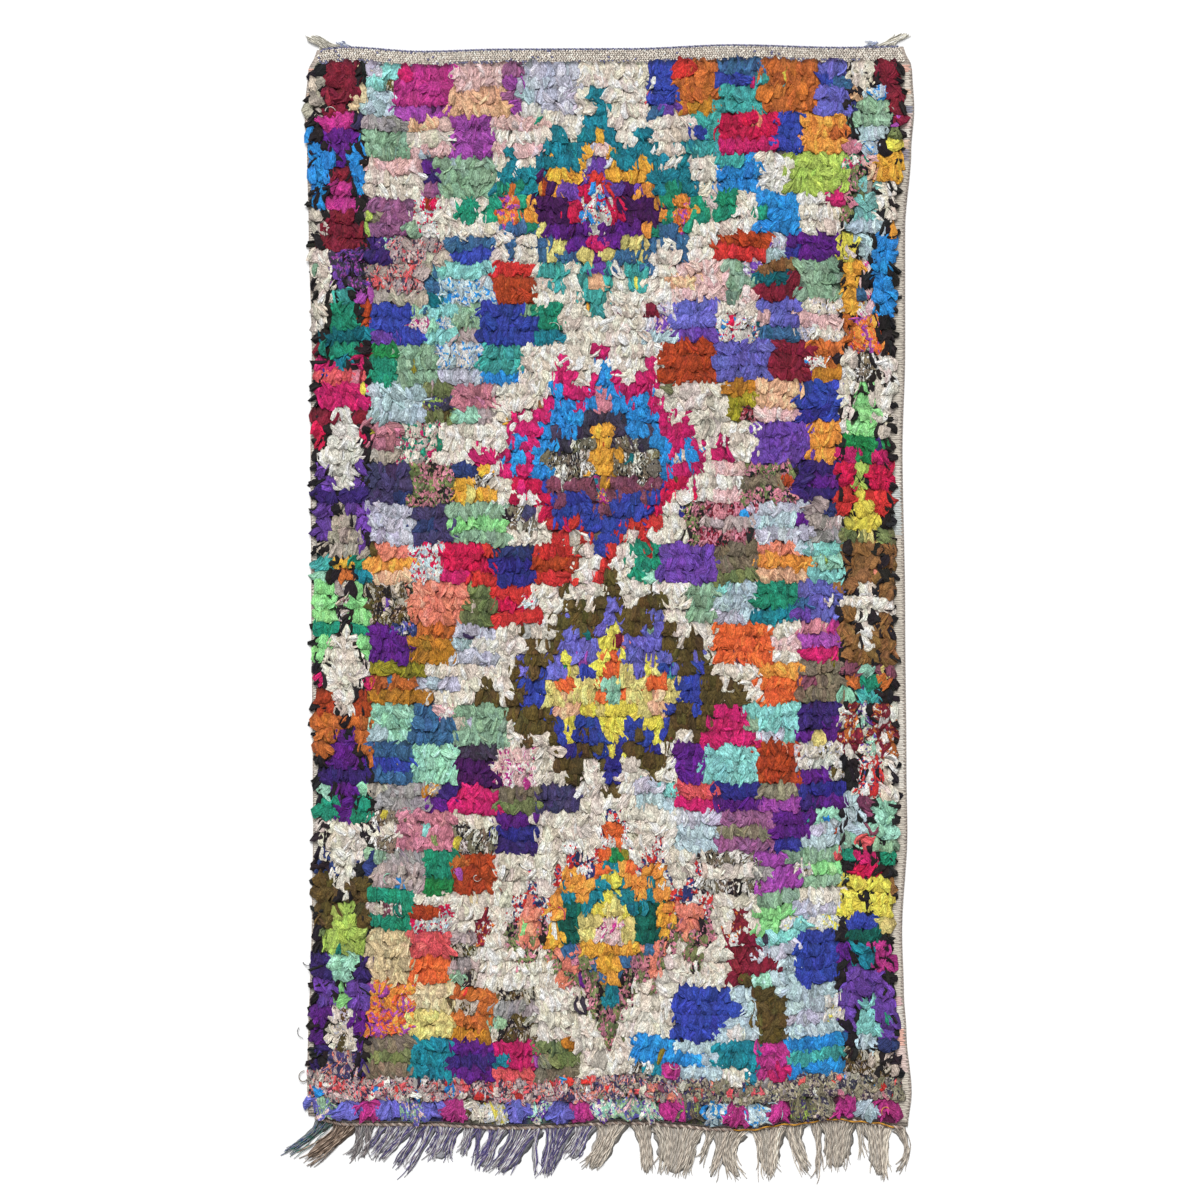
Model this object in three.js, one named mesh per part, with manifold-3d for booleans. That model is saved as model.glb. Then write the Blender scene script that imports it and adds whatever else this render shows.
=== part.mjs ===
// A boucherouite: a hand-knotted rag rug, lying flat. Millimetres, +Z up, the woven top end towards +Y and
// the fringed end towards -Y. The underside of every piece lies on z = 0 and the whole stands centred on the
// origin in X and Y.
//
// The rug is one woven piece: a flat cloth with a plain band at its top end, a bare selvedge down each side
// and rows of thick rag pile between them, whose locks spill over the sides. The warp ends form a fringe on a
// twined end cord at the bottom, and a short tassel at each top corner.

import * as THREE from 'three';
import { mergeGeometries, mergeVertices } from 'three/addons/utils/BufferGeometryUtils.js';
import Module from 'manifold-3d';

const wasm = await Module();
wasm.setup();

// ---- driving dimensions -------------------------------------------------------------------------------

const CLOTH_THICKNESS = 4; // ground weave, bare at the top band and along the selvedges
const CLOTH_LENGTH = 2475; // top edge to end cord, where the edges are level
const TOP_BAND = 32; // bare countered twining above the first row of pile
const ROW_PITCH = 31; // one row of rag knots
const PILE_CREST = { low: 12.5, high: 17 }; // height of a row's lumps above the floor
const PILE_VALLEY = { low: 8, high: 10.5 }; // height between two rows
const PILE_END = 6; // pile height where it meets the end cord
const ROW_WANDER = 5; // how far a row strays from a straight line

const PIECE_GAP = 0.3; // between the cloth's edge and a backing strip

// Distances from the side edges to the foot and the shoulder of the pile.
const LEFT_SELVEDGE = { foot: 9, shoulder: 24 };
const RIGHT_SELVEDGE = { foot: 25, shoulder: 41 };
const PILE_COLUMNS = 9; // lumps across the pile

// The side edges by distance down from the top edge: the cloth was woven by hand and its width wanders.
const SIDE_EDGES = [
  { down: 0, left: -668, right: 680 },
  { down: 50, left: -689, right: 700 },
  { down: 143, left: -697, right: 705 },
  { down: 235, left: -691, right: 698 },
  { down: 419, left: -687, right: 684 },
  { down: 695, left: -680, right: 684 },
  { down: 925, left: -683, right: 678 },
  { down: 1293, left: -681, right: 684 },
  { down: 1661, left: -678, right: 687 },
  { down: 1799, left: -677, right: 689 },
  { down: 2029, left: -680, right: 677 },
  { down: 2167, left: -684, right: 681 },
  { down: 2259, left: -688, right: 687 },
  { down: 2397, left: -691, right: 699 },
  { down: 2480, left: -688, right: 690 },
];

// How far the top edge and the bottom edge rise above their level lines, across the width.
const END_EDGES = [
  { across: -690, top: -6, bottom: 22 },
  { across: -600, top: 2, bottom: 6 },
  { across: -430, top: -8, bottom: 5 },
  { across: -230, top: -3, bottom: -3 },
  { across: 50, top: -2, bottom: 9 },
  { across: 290, top: 7, bottom: -7 },
  { across: 540, top: 1, bottom: 16 },
  { across: 700, top: 4, bottom: -4 },
];

// Locks of pile that spill over the sides, one for each row.
const RIM_LOCK = { first: 50, pitch: 32.4, count: 74 };
const RIM_LOCK_SIZE = { rootWidth: 25, tipWidth: 7, rootHeight: 12, tipHeight: 3, steps: 1 };
const LOCK_REACH = { left: { low: -4, high: 14 }, right: { low: -22, high: -5 } }; // past the edge
const LOCK_SAG = { low: 4, high: 18 }; // a lock lies towards the fringe
const LOCK_ROOT_DEPTH = 4; // how far its root reaches in behind the pile's shoulder

const END_CORD = { width: 11, height: 5.5, inset: 12 };
const YARN = { rootHeight: 4.5, tipHeight: 2.6, rootWidth: 4.2, tipWidth: 2.6, steps: 2 };
const STRAND_BEND = { across: 0.4, along: 0.55 }; // where a strand's curve bends, between root and tip
const SHORTEST_STRAND = 0.88; // of its clump's length

// The fringe's clumps along the end cord: the span of their roots, where they end, how wide they are there,
// how far they bow to the side between the two, and the number of strands.
const FRINGE_CLUMPS = [
  { from: -662, to: -640, tip: -736, spread: 14, drop: 84, bow: 12, strands: 3 },
  { from: -622, to: -586, tip: -690, spread: 33, drop: 98, bow: 10, strands: 4 },
  { from: -578, to: -562, tip: -588, spread: 12, drop: 90, bow: 12, strands: 3 },
  { from: -556, to: -546, tip: -560, spread: 6, drop: 84, bow: 6, strands: 2 },
  { from: -522, to: -496, tip: -540, spread: 22, drop: 88, bow: 0, strands: 4 },
  { from: -488, to: -466, tip: -514, spread: 18, drop: 82, bow: 0, strands: 4 },
  { from: -440, to: -422, tip: -482, spread: 12, drop: 102, bow: 0, strands: 3 },
  { from: -416, to: -402, tip: -462, spread: 10, drop: 124, bow: 6, strands: 2 },
  { from: -396, to: -352, tip: -386, spread: 58, drop: 84, bow: 0, strands: 9 },
  { from: -344, to: -320, tip: -336, spread: 22, drop: 72, bow: 0, strands: 4 },
  { from: -312, to: -292, tip: -302, spread: 14, drop: 92, bow: 8, strands: 3 },
  { from: -282, to: -244, tip: -268, spread: 34, drop: 98, bow: 0, strands: 6 },
  { from: -238, to: -176, tip: -214, spread: 46, drop: 116, bow: 0, strands: 8 },
  { from: -168, to: -160, tip: -164, spread: 4, drop: 118, bow: -6, strands: 1 },
  { from: -144, to: -90, tip: -130, spread: 34, drop: 116, bow: 0, strands: 7 },
  { from: -82, to: -34, tip: -82, spread: 34, drop: 88, bow: 0, strands: 6 },
  { from: -20, to: 28, tip: -34, spread: 44, drop: 112, bow: 8, strands: 7 },
  { from: 62, to: 92, tip: 92, spread: 24, drop: 124, bow: 8, strands: 5 },
  { from: 102, to: 214, tip: 150, spread: 66, drop: 118, bow: 8, strands: 11 },
  { from: 232, to: 244, tip: 212, spread: 10, drop: 88, bow: 0, strands: 2 },
  { from: 252, to: 270, tip: 238, spread: 14, drop: 120, bow: 6, strands: 3 },
  { from: 282, to: 318, tip: 300, spread: 28, drop: 116, bow: -34, strands: 5 },
  { from: 338, to: 404, tip: 372, spread: 36, drop: 120, bow: 0, strands: 7 },
  { from: 414, to: 446, tip: 462, spread: 22, drop: 122, bow: -10, strands: 4 },
  { from: 476, to: 486, tip: 482, spread: 6, drop: 142, bow: 6, strands: 2 },
  { from: 494, to: 570, tip: 528, spread: 52, drop: 118, bow: 0, strands: 9 },
  { from: 578, to: 582, tip: 582, spread: 4, drop: 98, bow: 0, strands: 1 },
  { from: 594, to: 646, tip: 626, spread: 34, drop: 126, bow: 0, strands: 7 },
  { from: 664, to: 672, tip: 672, spread: 8, drop: 108, bow: 32, strands: 2 },
];

// The two top corner tassels: a short strip along the top edge, a tail of warp ends that points up and
// outwards, and the stub of a loop beside it.
const TASSEL = { from: -654, to: -590, width: 9, height: 6 };
const TASSEL_TAILS = [
  { from: -652, to: -624, tip: -680, spread: 22, rise: 30, bow: -4, strands: 4 },
  { from: -612, to: -596, tip: -610, spread: 12, rise: 13, bow: 0, strands: 3 },
];

const MATERIALS = {
  rug: { color: 0xb9a6a0, roughness: 0.9 },
  fringe: { color: 0x9f988f, roughness: 0.95 },
  tassel_left: { color: 0xaab0a4, roughness: 0.95 },
  tassel_right: { color: 0xa9aca6, roughness: 0.95 },
};

// ---- small helpers --------------------------------------------------------------------------------------

const { lerp, smoothstep } = THREE.MathUtils;

// A repeatable scatter from 0 to 1 for the pair of whole numbers i, j.
function scatter(i, j) {
  const wave = Math.sin(i * 12.9898 + j * 78.233) * 43758.5453;
  return wave - Math.floor(wave);
}

function between(range, share) {
  return lerp(range.low, range.high, share);
}

// The value of one column of a table at a place along another, eased from row to row.
function readTable(table, key, place, column) {
  const last = table.length - 1;
  const next = table.findIndex((row) => row[key] >= place);
  if (next === 0 || next === -1) return table[next === 0 ? 0 : last][column];
  const a = table[next - 1];
  const b = table[next];
  return lerp(a[column], b[column], smoothstep(place, a[key], b[key]));
}

const topEdge = (x) => readTable(END_EDGES, 'across', x, 'top');
const bottomEdge = (x) => readTable(END_EDGES, 'across', x, 'bottom') - CLOTH_LENGTH;

function weldedSolid(geometry) {
  geometry.deleteAttribute('normal');
  geometry.deleteAttribute('uv');
  const welded = mergeVertices(geometry, 1e-3);
  const vertProperties = new Float32Array(welded.attributes.position.array);
  const triVerts = new Uint32Array(welded.index.array);
  return new wasm.Manifold(new wasm.Mesh({ numProp: 3, vertProperties, triVerts }));
}

function joined(solids) {
  return solids.reduce((whole, solid) => whole.add(solid));
}

function meshOf(name, solid) {
  const { vertProperties, triVerts } = solid.getMesh();
  const geometry = new THREE.BufferGeometry();
  geometry.setAttribute('position', new THREE.BufferAttribute(vertProperties, 3));
  geometry.setIndex(new THREE.BufferAttribute(triVerts, 1));
  geometry.computeVertexNormals();
  const material = new THREE.MeshStandardMaterial({ ...MATERIALS[name], metalness: 0 });
  const mesh = new THREE.Mesh(geometry, material);
  mesh.name = name;
  return mesh;
}

// A tapering strand of three sides that lies with one side flat on the floor, along a curve in plan.
// size gives its width and height at the root and at the tip.
function flatStrand(curve, size) {
  const geometry = new THREE.CylinderGeometry(1, 1, 1, 3, size.steps);
  const position = geometry.attributes.position;
  const baseHalf = Math.sin(Math.PI / 3);
  for (let i = 0; i < position.count; i += 1) {
    const t = 0.5 - position.getY(i);
    const point = curve.getPoint(t);
    const along = curve.getTangent(t);
    const side = (lerp(size.rootWidth, size.tipWidth, t) / 2) * (position.getX(i) / baseHalf);
    const lift = lerp(size.rootHeight, size.tipHeight, t) * ((position.getZ(i) + 0.5) / 1.5);
    position.setXYZ(i, point.x - along.y * side, point.y + along.x * side, lift);
  }
  return weldedSolid(geometry);
}

// ---- the woven piece --------------------------------------------------------------------------------------

const PILE_ROWS = Math.round((CLOTH_LENGTH - TOP_BAND) / ROW_PITCH);
const GRID_COLUMNS = PILE_COLUMNS + 4; // an edge and a foot more on each side
const GRID_ROWS = 2 * PILE_ROWS + 1; // the top band, then a valley and a crest for each row

// How far down the cloth a line of the grid lies, before the ends' unevenness.
function gridDown(row) {
  if (row === 0) return 0;
  return TOP_BAND + ((row - 1) * (CLOTH_LENGTH - TOP_BAND)) / (GRID_ROWS - 1);
}

function gridAcross(column, left, right) {
  const foot = { 1: left + LEFT_SELVEDGE.foot, [GRID_COLUMNS - 1]: right - RIGHT_SELVEDGE.foot };
  if (column === 0) return left;
  if (column === GRID_COLUMNS) return right;
  if (column in foot) return foot[column];
  const share = (column - 2) / PILE_COLUMNS;
  return lerp(left + LEFT_SELVEDGE.shoulder, right - RIGHT_SELVEDGE.shoulder, share);
}

function gridHeight(row, column) {
  const bareSide = column < 2 || column > GRID_COLUMNS - 2;
  if (bareSide || row < 2) return CLOTH_THICKNESS;
  if (row === GRID_ROWS) return PILE_END;
  const level = row % 2 === 0 ? PILE_CREST : PILE_VALLEY;
  return between(level, scatter(row, column));
}

function clothPoint(row, column) {
  const down = gridDown(row);
  const left = readTable(SIDE_EDGES, 'down', down, 'left');
  const right = readTable(SIDE_EDGES, 'down', down, 'right');
  const x = gridAcross(column, left, right);
  const share = down / CLOTH_LENGTH;
  const inside = row > 1 && row < GRID_ROWS && column > 1 && column < GRID_COLUMNS - 1;
  const wander = inside ? (scatter(column, row) - 0.5) * ROW_WANDER : 0;
  const y = lerp(topEdge(x), bottomEdge(x), share) + wander;
  return new THREE.Vector3(x, y, gridHeight(row, column));
}

// The lumpy upper face, over a grid of rows and columns.
function upperFace() {
  const geometry = new THREE.PlaneGeometry(1, 1, GRID_COLUMNS, GRID_ROWS);
  const position = geometry.attributes.position;
  for (let i = 0; i < position.count; i += 1) {
    const row = Math.floor(i / (GRID_COLUMNS + 1));
    const point = clothPoint(row, i % (GRID_COLUMNS + 1));
    position.setXYZ(i, point.x, point.y, point.z);
  }
  return geometry;
}

// The corners of the grid's rim, once round anticlockwise from the top left.
function rimPoints() {
  const rim = [];
  for (let row = 0; row < GRID_ROWS; row += 1) rim.push(clothPoint(row, 0));
  for (let column = 0; column < GRID_COLUMNS; column += 1) rim.push(clothPoint(GRID_ROWS, column));
  for (let row = GRID_ROWS; row > 0; row -= 1) rim.push(clothPoint(row, GRID_COLUMNS));
  for (let column = GRID_COLUMNS; column > 0; column -= 1) rim.push(clothPoint(0, column));
  return rim;
}

// The upright wall from the rim down to the floor.
function rimWall(rim) {
  const geometry = new THREE.PlaneGeometry(1, 1, rim.length, 1);
  const position = geometry.attributes.position;
  for (let i = 0; i < position.count; i += 1) {
    const point = rim[i % (rim.length + 1) % rim.length];
    position.setXYZ(i, point.x, point.y, i > rim.length ? 0 : point.z);
  }
  return geometry;
}

// The flat underside, facing down.
function underside(rim) {
  const outline = rim.map((point) => new THREE.Vector2(point.x, point.y));
  const geometry = new THREE.ShapeGeometry(new THREE.Shape(outline));
  geometry.index.array.reverse();
  return geometry;
}

function pileSlab() {
  const rim = rimPoints();
  return weldedSolid(mergeGeometries([upperFace(), rimWall(rim), underside(rim)]));
}

// One lock at the rim: its root is in the pile's shoulder and it lies out over the selvedge.
function rimLock(side, index) {
  const outward = side === 'left' ? -1 : 1;
  const selvedge = side === 'left' ? LEFT_SELVEDGE : RIGHT_SELVEDGE;
  const down = RIM_LOCK.first + index * RIM_LOCK.pitch;
  const edge = readTable(SIDE_EDGES, 'down', down, side);
  const reach = between(LOCK_REACH[side], scatter(index, outward + 5));
  const sag = between(LOCK_SAG, scatter(index, outward + 9));
  const y = lerp(topEdge(edge), bottomEdge(edge), down / CLOTH_LENGTH);
  const root = new THREE.Vector2(edge - outward * (selvedge.shoulder + LOCK_ROOT_DEPTH), y);
  const tip = new THREE.Vector2(edge + outward * reach, y - sag);
  return flatStrand(new THREE.LineCurve(root, tip), RIM_LOCK_SIZE);
}

function wovenRug() {
  const locks = [];
  for (let index = 0; index < RIM_LOCK.count; index += 1) {
    locks.push(rimLock('left', index), rimLock('right', index));
  }
  return joined([pileSlab(), ...locks]);
}

// ---- fringe and tassels -----------------------------------------------------------------------------------

// A flat strip beside an end edge of the cloth, PIECE_GAP away from it. outward is -1 below the bottom edge
// and 1 above the top edge. It has a corner wherever the cloth's edge has one.
function backingStrip(from, to, edge, outward, width, height) {
  const corners = [];
  for (let column = 0; column <= GRID_COLUMNS; column += 1) {
    const corner = clothPoint(outward < 0 ? GRID_ROWS : 0, column);
    if (corner.x > from && corner.x < to) corners.push(corner.x);
  }
  const inner = [from, ...corners, to].map((x) => new THREE.Vector2(x, edge(x) + outward * PIECE_GAP));
  const outer = inner.map((point) => new THREE.Vector2(point.x, point.y + outward * width)).reverse();
  const outline = new THREE.Shape([...inner, ...outer]);
  return weldedSolid(new THREE.ExtrudeGeometry(outline, { depth: height, bevelEnabled: false }));
}

// The height of the cloth's own edge line at x, which is straight between two columns of its grid.
function edgeLine(row) {
  const points = [];
  for (let column = 0; column <= GRID_COLUMNS; column += 1) points.push(clothPoint(row, column));
  return (x) => {
    const next = Math.max(1, points.findIndex((point) => point.x >= x));
    const a = points[next - 1];
    const b = points[next];
    return lerp(a.y, b.y, (x - a.x) / (b.x - a.x));
  };
}

// The strands of one clump, side by side from their roots to their tips, none touching the next.
function clumpStrands(clump, rootY, outward, reach) {
  const strands = [];
  for (let index = 0; index < clump.strands; index += 1) {
    const share = clump.strands > 1 ? index / (clump.strands - 1) : 0.5;
    const x = lerp(clump.from, clump.to, share);
    const tipX = clump.tip + (share - 0.5) * clump.spread;
    const length = reach * lerp(SHORTEST_STRAND, 1, scatter(index, clump.from));
    const root = new THREE.Vector2(x, rootY(x));
    const tip = new THREE.Vector2(tipX, root.y + outward * length);
    const bendX = lerp(x, tipX, STRAND_BEND.across) + clump.bow;
    const bend = new THREE.Vector2(bendX, lerp(root.y, tip.y, STRAND_BEND.along));
    strands.push(flatStrand(new THREE.QuadraticBezierCurve(root, bend, tip), YARN));
  }
  return strands;
}

function fringe() {
  const edge = edgeLine(GRID_ROWS);
  const from = clothPoint(GRID_ROWS, 0).x + END_CORD.inset;
  const to = clothPoint(GRID_ROWS, GRID_COLUMNS).x - END_CORD.inset;
  const cord = backingStrip(from, to, edge, -1, END_CORD.width, END_CORD.height);
  const rootY = (x) => edge(x) - PIECE_GAP - END_CORD.width / 2;
  const strands = FRINGE_CLUMPS.flatMap((clump) => clumpStrands(clump, rootY, -1, clump.drop));
  return joined([cord, ...strands]);
}

// A row of the tassel table for the other corner.
function mirroredTail(row) {
  return { ...row, from: -row.to, to: -row.from, tip: -row.tip, bow: -row.bow };
}

function tassel(from, to, tails) {
  const edge = edgeLine(0);
  const backing = backingStrip(from, to, edge, 1, TASSEL.width, TASSEL.height);
  const rootY = (x) => edge(x) + PIECE_GAP + TASSEL.width / 2;
  return joined([backing, ...tails.flatMap((tail) => clumpStrands(tail, rootY, 1, tail.rise))]);
}

// ---- the whole rug ----------------------------------------------------------------------------------------

const rug = new THREE.Group();
rug.add(meshOf('rug', wovenRug()));
rug.add(meshOf('fringe', fringe()));
rug.add(meshOf('tassel_left', tassel(TASSEL.from, TASSEL.to, TASSEL_TAILS)));
rug.add(meshOf('tassel_right', tassel(-TASSEL.to, -TASSEL.from, TASSEL_TAILS.map(mirroredTail))));

const middle = new THREE.Box3().setFromObject(rug).getCenter(new THREE.Vector3());
rug.position.set(-middle.x, -middle.y, 0);

const whole = new THREE.Group();
whole.add(rug);

export default whole;
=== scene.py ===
import bpy
import numpy as np
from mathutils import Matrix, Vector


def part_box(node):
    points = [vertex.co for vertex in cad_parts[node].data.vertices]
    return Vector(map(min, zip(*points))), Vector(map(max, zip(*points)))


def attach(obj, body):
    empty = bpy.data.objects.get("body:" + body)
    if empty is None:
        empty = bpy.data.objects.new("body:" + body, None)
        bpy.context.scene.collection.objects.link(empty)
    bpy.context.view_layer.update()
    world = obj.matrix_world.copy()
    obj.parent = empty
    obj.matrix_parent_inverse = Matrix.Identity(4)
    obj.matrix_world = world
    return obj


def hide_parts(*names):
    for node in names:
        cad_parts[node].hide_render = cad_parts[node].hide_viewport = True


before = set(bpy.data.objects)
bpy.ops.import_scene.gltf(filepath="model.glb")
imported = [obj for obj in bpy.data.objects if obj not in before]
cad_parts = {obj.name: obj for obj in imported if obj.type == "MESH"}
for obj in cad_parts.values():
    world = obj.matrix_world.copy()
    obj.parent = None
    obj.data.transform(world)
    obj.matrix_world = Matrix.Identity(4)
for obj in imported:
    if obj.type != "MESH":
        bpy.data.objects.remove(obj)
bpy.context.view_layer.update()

# A boucherouite rug: a woven ground with a twined top band, bare selvedges, rows of knotted rag pile and a
# fringe of warp ends. Sizes are in millimetres, x across and y up the cloth, and meshes are made in metres.
MM = 0.001

# ---- the cloth's plan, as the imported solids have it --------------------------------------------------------

CLOTH_LENGTH = 2475
CLOTH_THICKNESS = 4
TOP_BAND = 32  # how far down the cloth the pile starts
LEFT_FOOT = 9  # how much bare selvedge is beside the pile
RIGHT_FOOT = 25

# Where the sides are at places down the cloth, and where its ends are at places across it.
SIDE_EDGES = {
    "down": (0, 50, 143, 235, 419, 695, 925, 1293, 1661, 1799, 2029, 2167, 2259, 2397, 2480),
    "left": (-668, -689, -697, -691, -687, -680, -683, -681, -678, -677, -680, -684, -688, -691, -688),
    "right": (680, 700, 705, 698, 684, 684, 678, 684, 687, 689, 677, 681, 687, 699, 690),
}
END_EDGES = {
    "across": (-690, -600, -430, -230, 50, 290, 540, 700),
    "top": (-6, 2, -8, -3, -2, 7, 1, 4),
    "bottom": (22, 6, 5, -3, 9, -7, 16, -4),
}


def lerp(a, b, t):
    """Straight from a to b as t goes from 0 to 1."""
    return a + (b - a) * t


def eased(table, key, place, column):
    """Reads a table between its rows, each step eased by the curve 3t^2 - 2t^3."""
    keys, values = (np.array(table[name], float) for name in (key, column))
    after = np.clip(np.searchsorted(keys, place), 1, len(keys) - 1)
    t = np.clip((place - keys[after - 1]) / (keys[after] - keys[after - 1]), 0, 1)
    return lerp(values[after - 1], values[after], t * t * (3 - 2 * t))


def side_edge(side, down):
    """x of the left or right side, so far down the cloth."""
    return eased(SIDE_EDGES, "down", down, side)


def end_edge(end, x):
    """y of the top or bottom end."""
    return eased(END_EDGES, "across", x, end) - (CLOTH_LENGTH if end == "bottom" else 0)


RUG_HIGH = np.array(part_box("rug")[1]) / MM
SHIFT = np.array([RUG_HIGH[0] - max(SIDE_EDGES["right"]), RUG_HIGH[1] - max(END_EDGES["top"]), 0.0])


def cloth_y(x, down):
    """y of a line across the cloth, which lies between the shapes of the two ends in proportion to how far
    down it is."""
    return lerp(end_edge("top", x), end_edge("bottom", x), down / CLOTH_LENGTH)


# ---- rags --------------------------------------------------------------------------------------------------

COLOURS = {
    "cream": (0.91, 0.86, 0.80), "ivory": (0.89, 0.87, 0.83), "ice": (0.71, 0.79, 0.82),
    "lilac_grey": (0.76, 0.76, 0.82), "sage": (0.55, 0.68, 0.57), "mint": (0.61, 0.83, 0.72),
    "aqua": (0.53, 0.79, 0.77), "turquoise": (0.28, 0.66, 0.64), "teal": (0.12, 0.50, 0.57),
    "dark_teal": (0.06, 0.38, 0.42), "emerald": (0.14, 0.56, 0.44), "bottle": (0.06, 0.36, 0.31),
    "leaf": (0.14, 0.52, 0.29), "lime": (0.66, 0.76, 0.36), "spring": (0.56, 0.84, 0.54),
    "olive": (0.35, 0.29, 0.15), "khaki": (0.46, 0.50, 0.32), "taupe": (0.48, 0.43, 0.36),
    "mustard": (0.60, 0.57, 0.17), "brown": (0.52, 0.37, 0.22), "rust": (0.67, 0.26, 0.13),
    "burnt": (0.76, 0.42, 0.20), "ochre": (0.74, 0.50, 0.17), "gold": (0.93, 0.66, 0.25),
    "yellow": (0.90, 0.83, 0.34), "lemon": (0.88, 0.81, 0.50), "orange": (0.95, 0.60, 0.27),
    "peach": (0.93, 0.71, 0.57), "tan": (0.86, 0.77, 0.61), "salmon": (0.96, 0.55, 0.46),
    "flame": (0.95, 0.42, 0.22), "watermelon": (0.88, 0.36, 0.38), "red": (0.80, 0.21, 0.20),
    "crimson": (0.80, 0.10, 0.30), "maroon": (0.50, 0.12, 0.20), "magenta": (0.73, 0.22, 0.53),
    "hot_pink": (0.78, 0.14, 0.41), "blush": (0.91, 0.74, 0.73), "rose": (0.78, 0.50, 0.56),
    "orchid": (0.64, 0.30, 0.66), "purple": (0.37, 0.13, 0.51), "violet": (0.42, 0.27, 0.63),
    "periwinkle": (0.42, 0.41, 0.74), "indigo": (0.23, 0.15, 0.42), "aubergine": (0.27, 0.08, 0.33),
    "plum": (0.50, 0.28, 0.36), "mauve": (0.60, 0.38, 0.54), "cobalt": (0.21, 0.27, 0.63),
    "ink_blue": (0.19, 0.18, 0.52), "sky": (0.18, 0.55, 0.84), "navy": (0.18, 0.23, 0.42),
    "denim": (0.24, 0.40, 0.56), "slate": (0.27, 0.24, 0.40), "charcoal": (0.25, 0.22, 0.30),
    "black": (0.13, 0.11, 0.12), "grey": (0.62, 0.60, 0.60), "stone": (0.72, 0.68, 0.62),
    "oat": (0.70, 0.63, 0.62), "moss": (0.57, 0.54, 0.45),
}

# Printed, striped and heathered cloths: ground, two inks, how much ink, and how much of it runs in stripes.
PRINTS = {
    "zebra": ("ivory", "black", "taupe", 0.56, 1.0),
    "tweed": ("stone", "black", "olive", 0.50, 0.7),
    "red_sprig": ("ivory", "crimson", "ice", 0.40, 0.0),
    "ice_sprig": ("ice", "ivory", "sky", 0.32, 0.0),
    "white_sprig": ("ivory", "sky", "crimson", 0.26, 0.2),
    "pink_marble": ("blush", "magenta", "ivory", 0.34, 0.5),
    "rose_marble": ("rose", "black", "maroon", 0.36, 0.4),
    "green_floral": ("mint", "violet", "cream", 0.44, 0.1),
    "navy_tweed": ("navy", "ivory", "periwinkle", 0.44, 0.6),
    "khaki_heather": ("taupe", "lime", "slate", 0.46, 0.4),
    "ochre_heather": ("tan", "ochre", "grey", 0.46, 0.6),
    "grey_heather": ("stone", "plum", "ivory", 0.42, 0.6),
    "flame_print": ("orange", "orchid", "flame", 0.40, 0.3),
    "party": ("cream", "hot_pink", "emerald", 0.42, 0.2),
    "purple_heather": ("violet", "orchid", "charcoal", 0.50, 0.5),
    "confetti": ("ivory", "navy", "red", 0.46, 0.1),
    "dark_floral": ("khaki", "black", "rose", 0.48, 0.2),
    "pastel": ("ivory", "yellow", "ice", 0.34, 0.3),
    "lilac_print": ("lilac_grey", "violet", "blush", 0.34, 0.2),
    "brick_print": ("maroon", "ivory", "burnt", 0.32, 0.3),
    "cream_print": ("cream", "olive", "lilac_grey", 0.28, 0.3),
    "red_heather": ("oat", "watermelon", "charcoal", 0.34, 0.9),
    "olive_heather": ("moss", "stone", "charcoal", 0.40, 0.9),
    "navy_heather": ("slate", "salmon", "oat", 0.44, 0.9),
    "multi": ("teal", "gold", "magenta", 0.46, 0.3),
    "chunk_floral": ("sage", "blush", "periwinkle", 0.40, 0.4),
}

RAGS = [*COLOURS, *PRINTS]
RAG_ID = {name: i for i, name in enumerate(RAGS)}
RAG_ROWS = [(name, name, name, 0.0, 0.0) for name in COLOURS] + list(PRINTS.values())
RAG_CLOTH, RAG_INK, RAG_SECOND = (np.array([COLOURS[row[k]] for row in RAG_ROWS]) for k in range(3))
RAG_PRINT = np.array([row[3:] for row in RAG_ROWS])


def rag_ids(names):
    """The rags' numbers, from their names in one line."""
    return np.array([RAG_ID[name] for name in names.split()])


# The rags at hand while each stretch of the rug was knotted, left and right of the middle.
BASKETS = (
    {"left": "peach sage lilac_grey ochre_heather ice tweed lilac_grey magenta orchid blush ice_sprig",
     "right": "cobalt crimson turquoise orange cobalt periwinkle burnt magenta ice_sprig mint"},
    {"left": "purple mauve rust cream red_sprig ice sage",
     "right": "lime sky red hot_pink brick_print cream sage"},
    {"left": "lilac_print ice_sprig indigo rust denim green_floral red_heather",
     "right": "purple blush maroon dark_teal red aqua sage lilac_print mint"},
    {"left": "sage ochre ice_sprig sky tweed blush emerald cobalt pink_marble",
     "right": "rust cream_print periwinkle burnt lilac_print purple blush maroon white_sprig"},
    {"left": "rose cream_print party ice mint khaki_heather lilac_grey pink_marble",
     "right": "rose_marble cobalt periwinkle peach blush orange mustard"},
    {"left": "navy dark_floral sage lemon slate gold zebra lilac_grey",
     "right": "rose_marble dark_floral aqua purple rust navy blush lilac_grey"},
    {"left": "red ice khaki ink_blue emerald tweed salmon red_sprig olive_heather",
     "right": "emerald ice mint khaki violet periwinkle sage salmon"},
    {"left": "ochre purple ice lilac_grey cream aqua navy_tweed",
     "right": "salmon magenta flame rust cream taupe sage"},
    {"left": "denim orange slate mint pink_marble aubergine grey sage",
     "right": "hot_pink rust sage purple aqua cream_print"},
    {"left": "ochre_heather watermelon zebra rose hot_pink slate purple khaki",
     "right": "navy_tweed grey_heather ice watermelon purple mauve"},
    {"left": "emerald grey_heather ice_sprig lilac_grey rust dark_floral red_sprig",
     "right": "sage mint zebra orchid aqua pastel cream_print"},
    {"left": "tan burnt rose_marble watermelon tweed flame_print olive",
     "right": "watermelon olive pastel maroon mint cobalt plum ice"},
    {"left": "ochre mint purple khaki teal watermelon", "right": "sky zebra magenta cream teal ice"},
)

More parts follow.
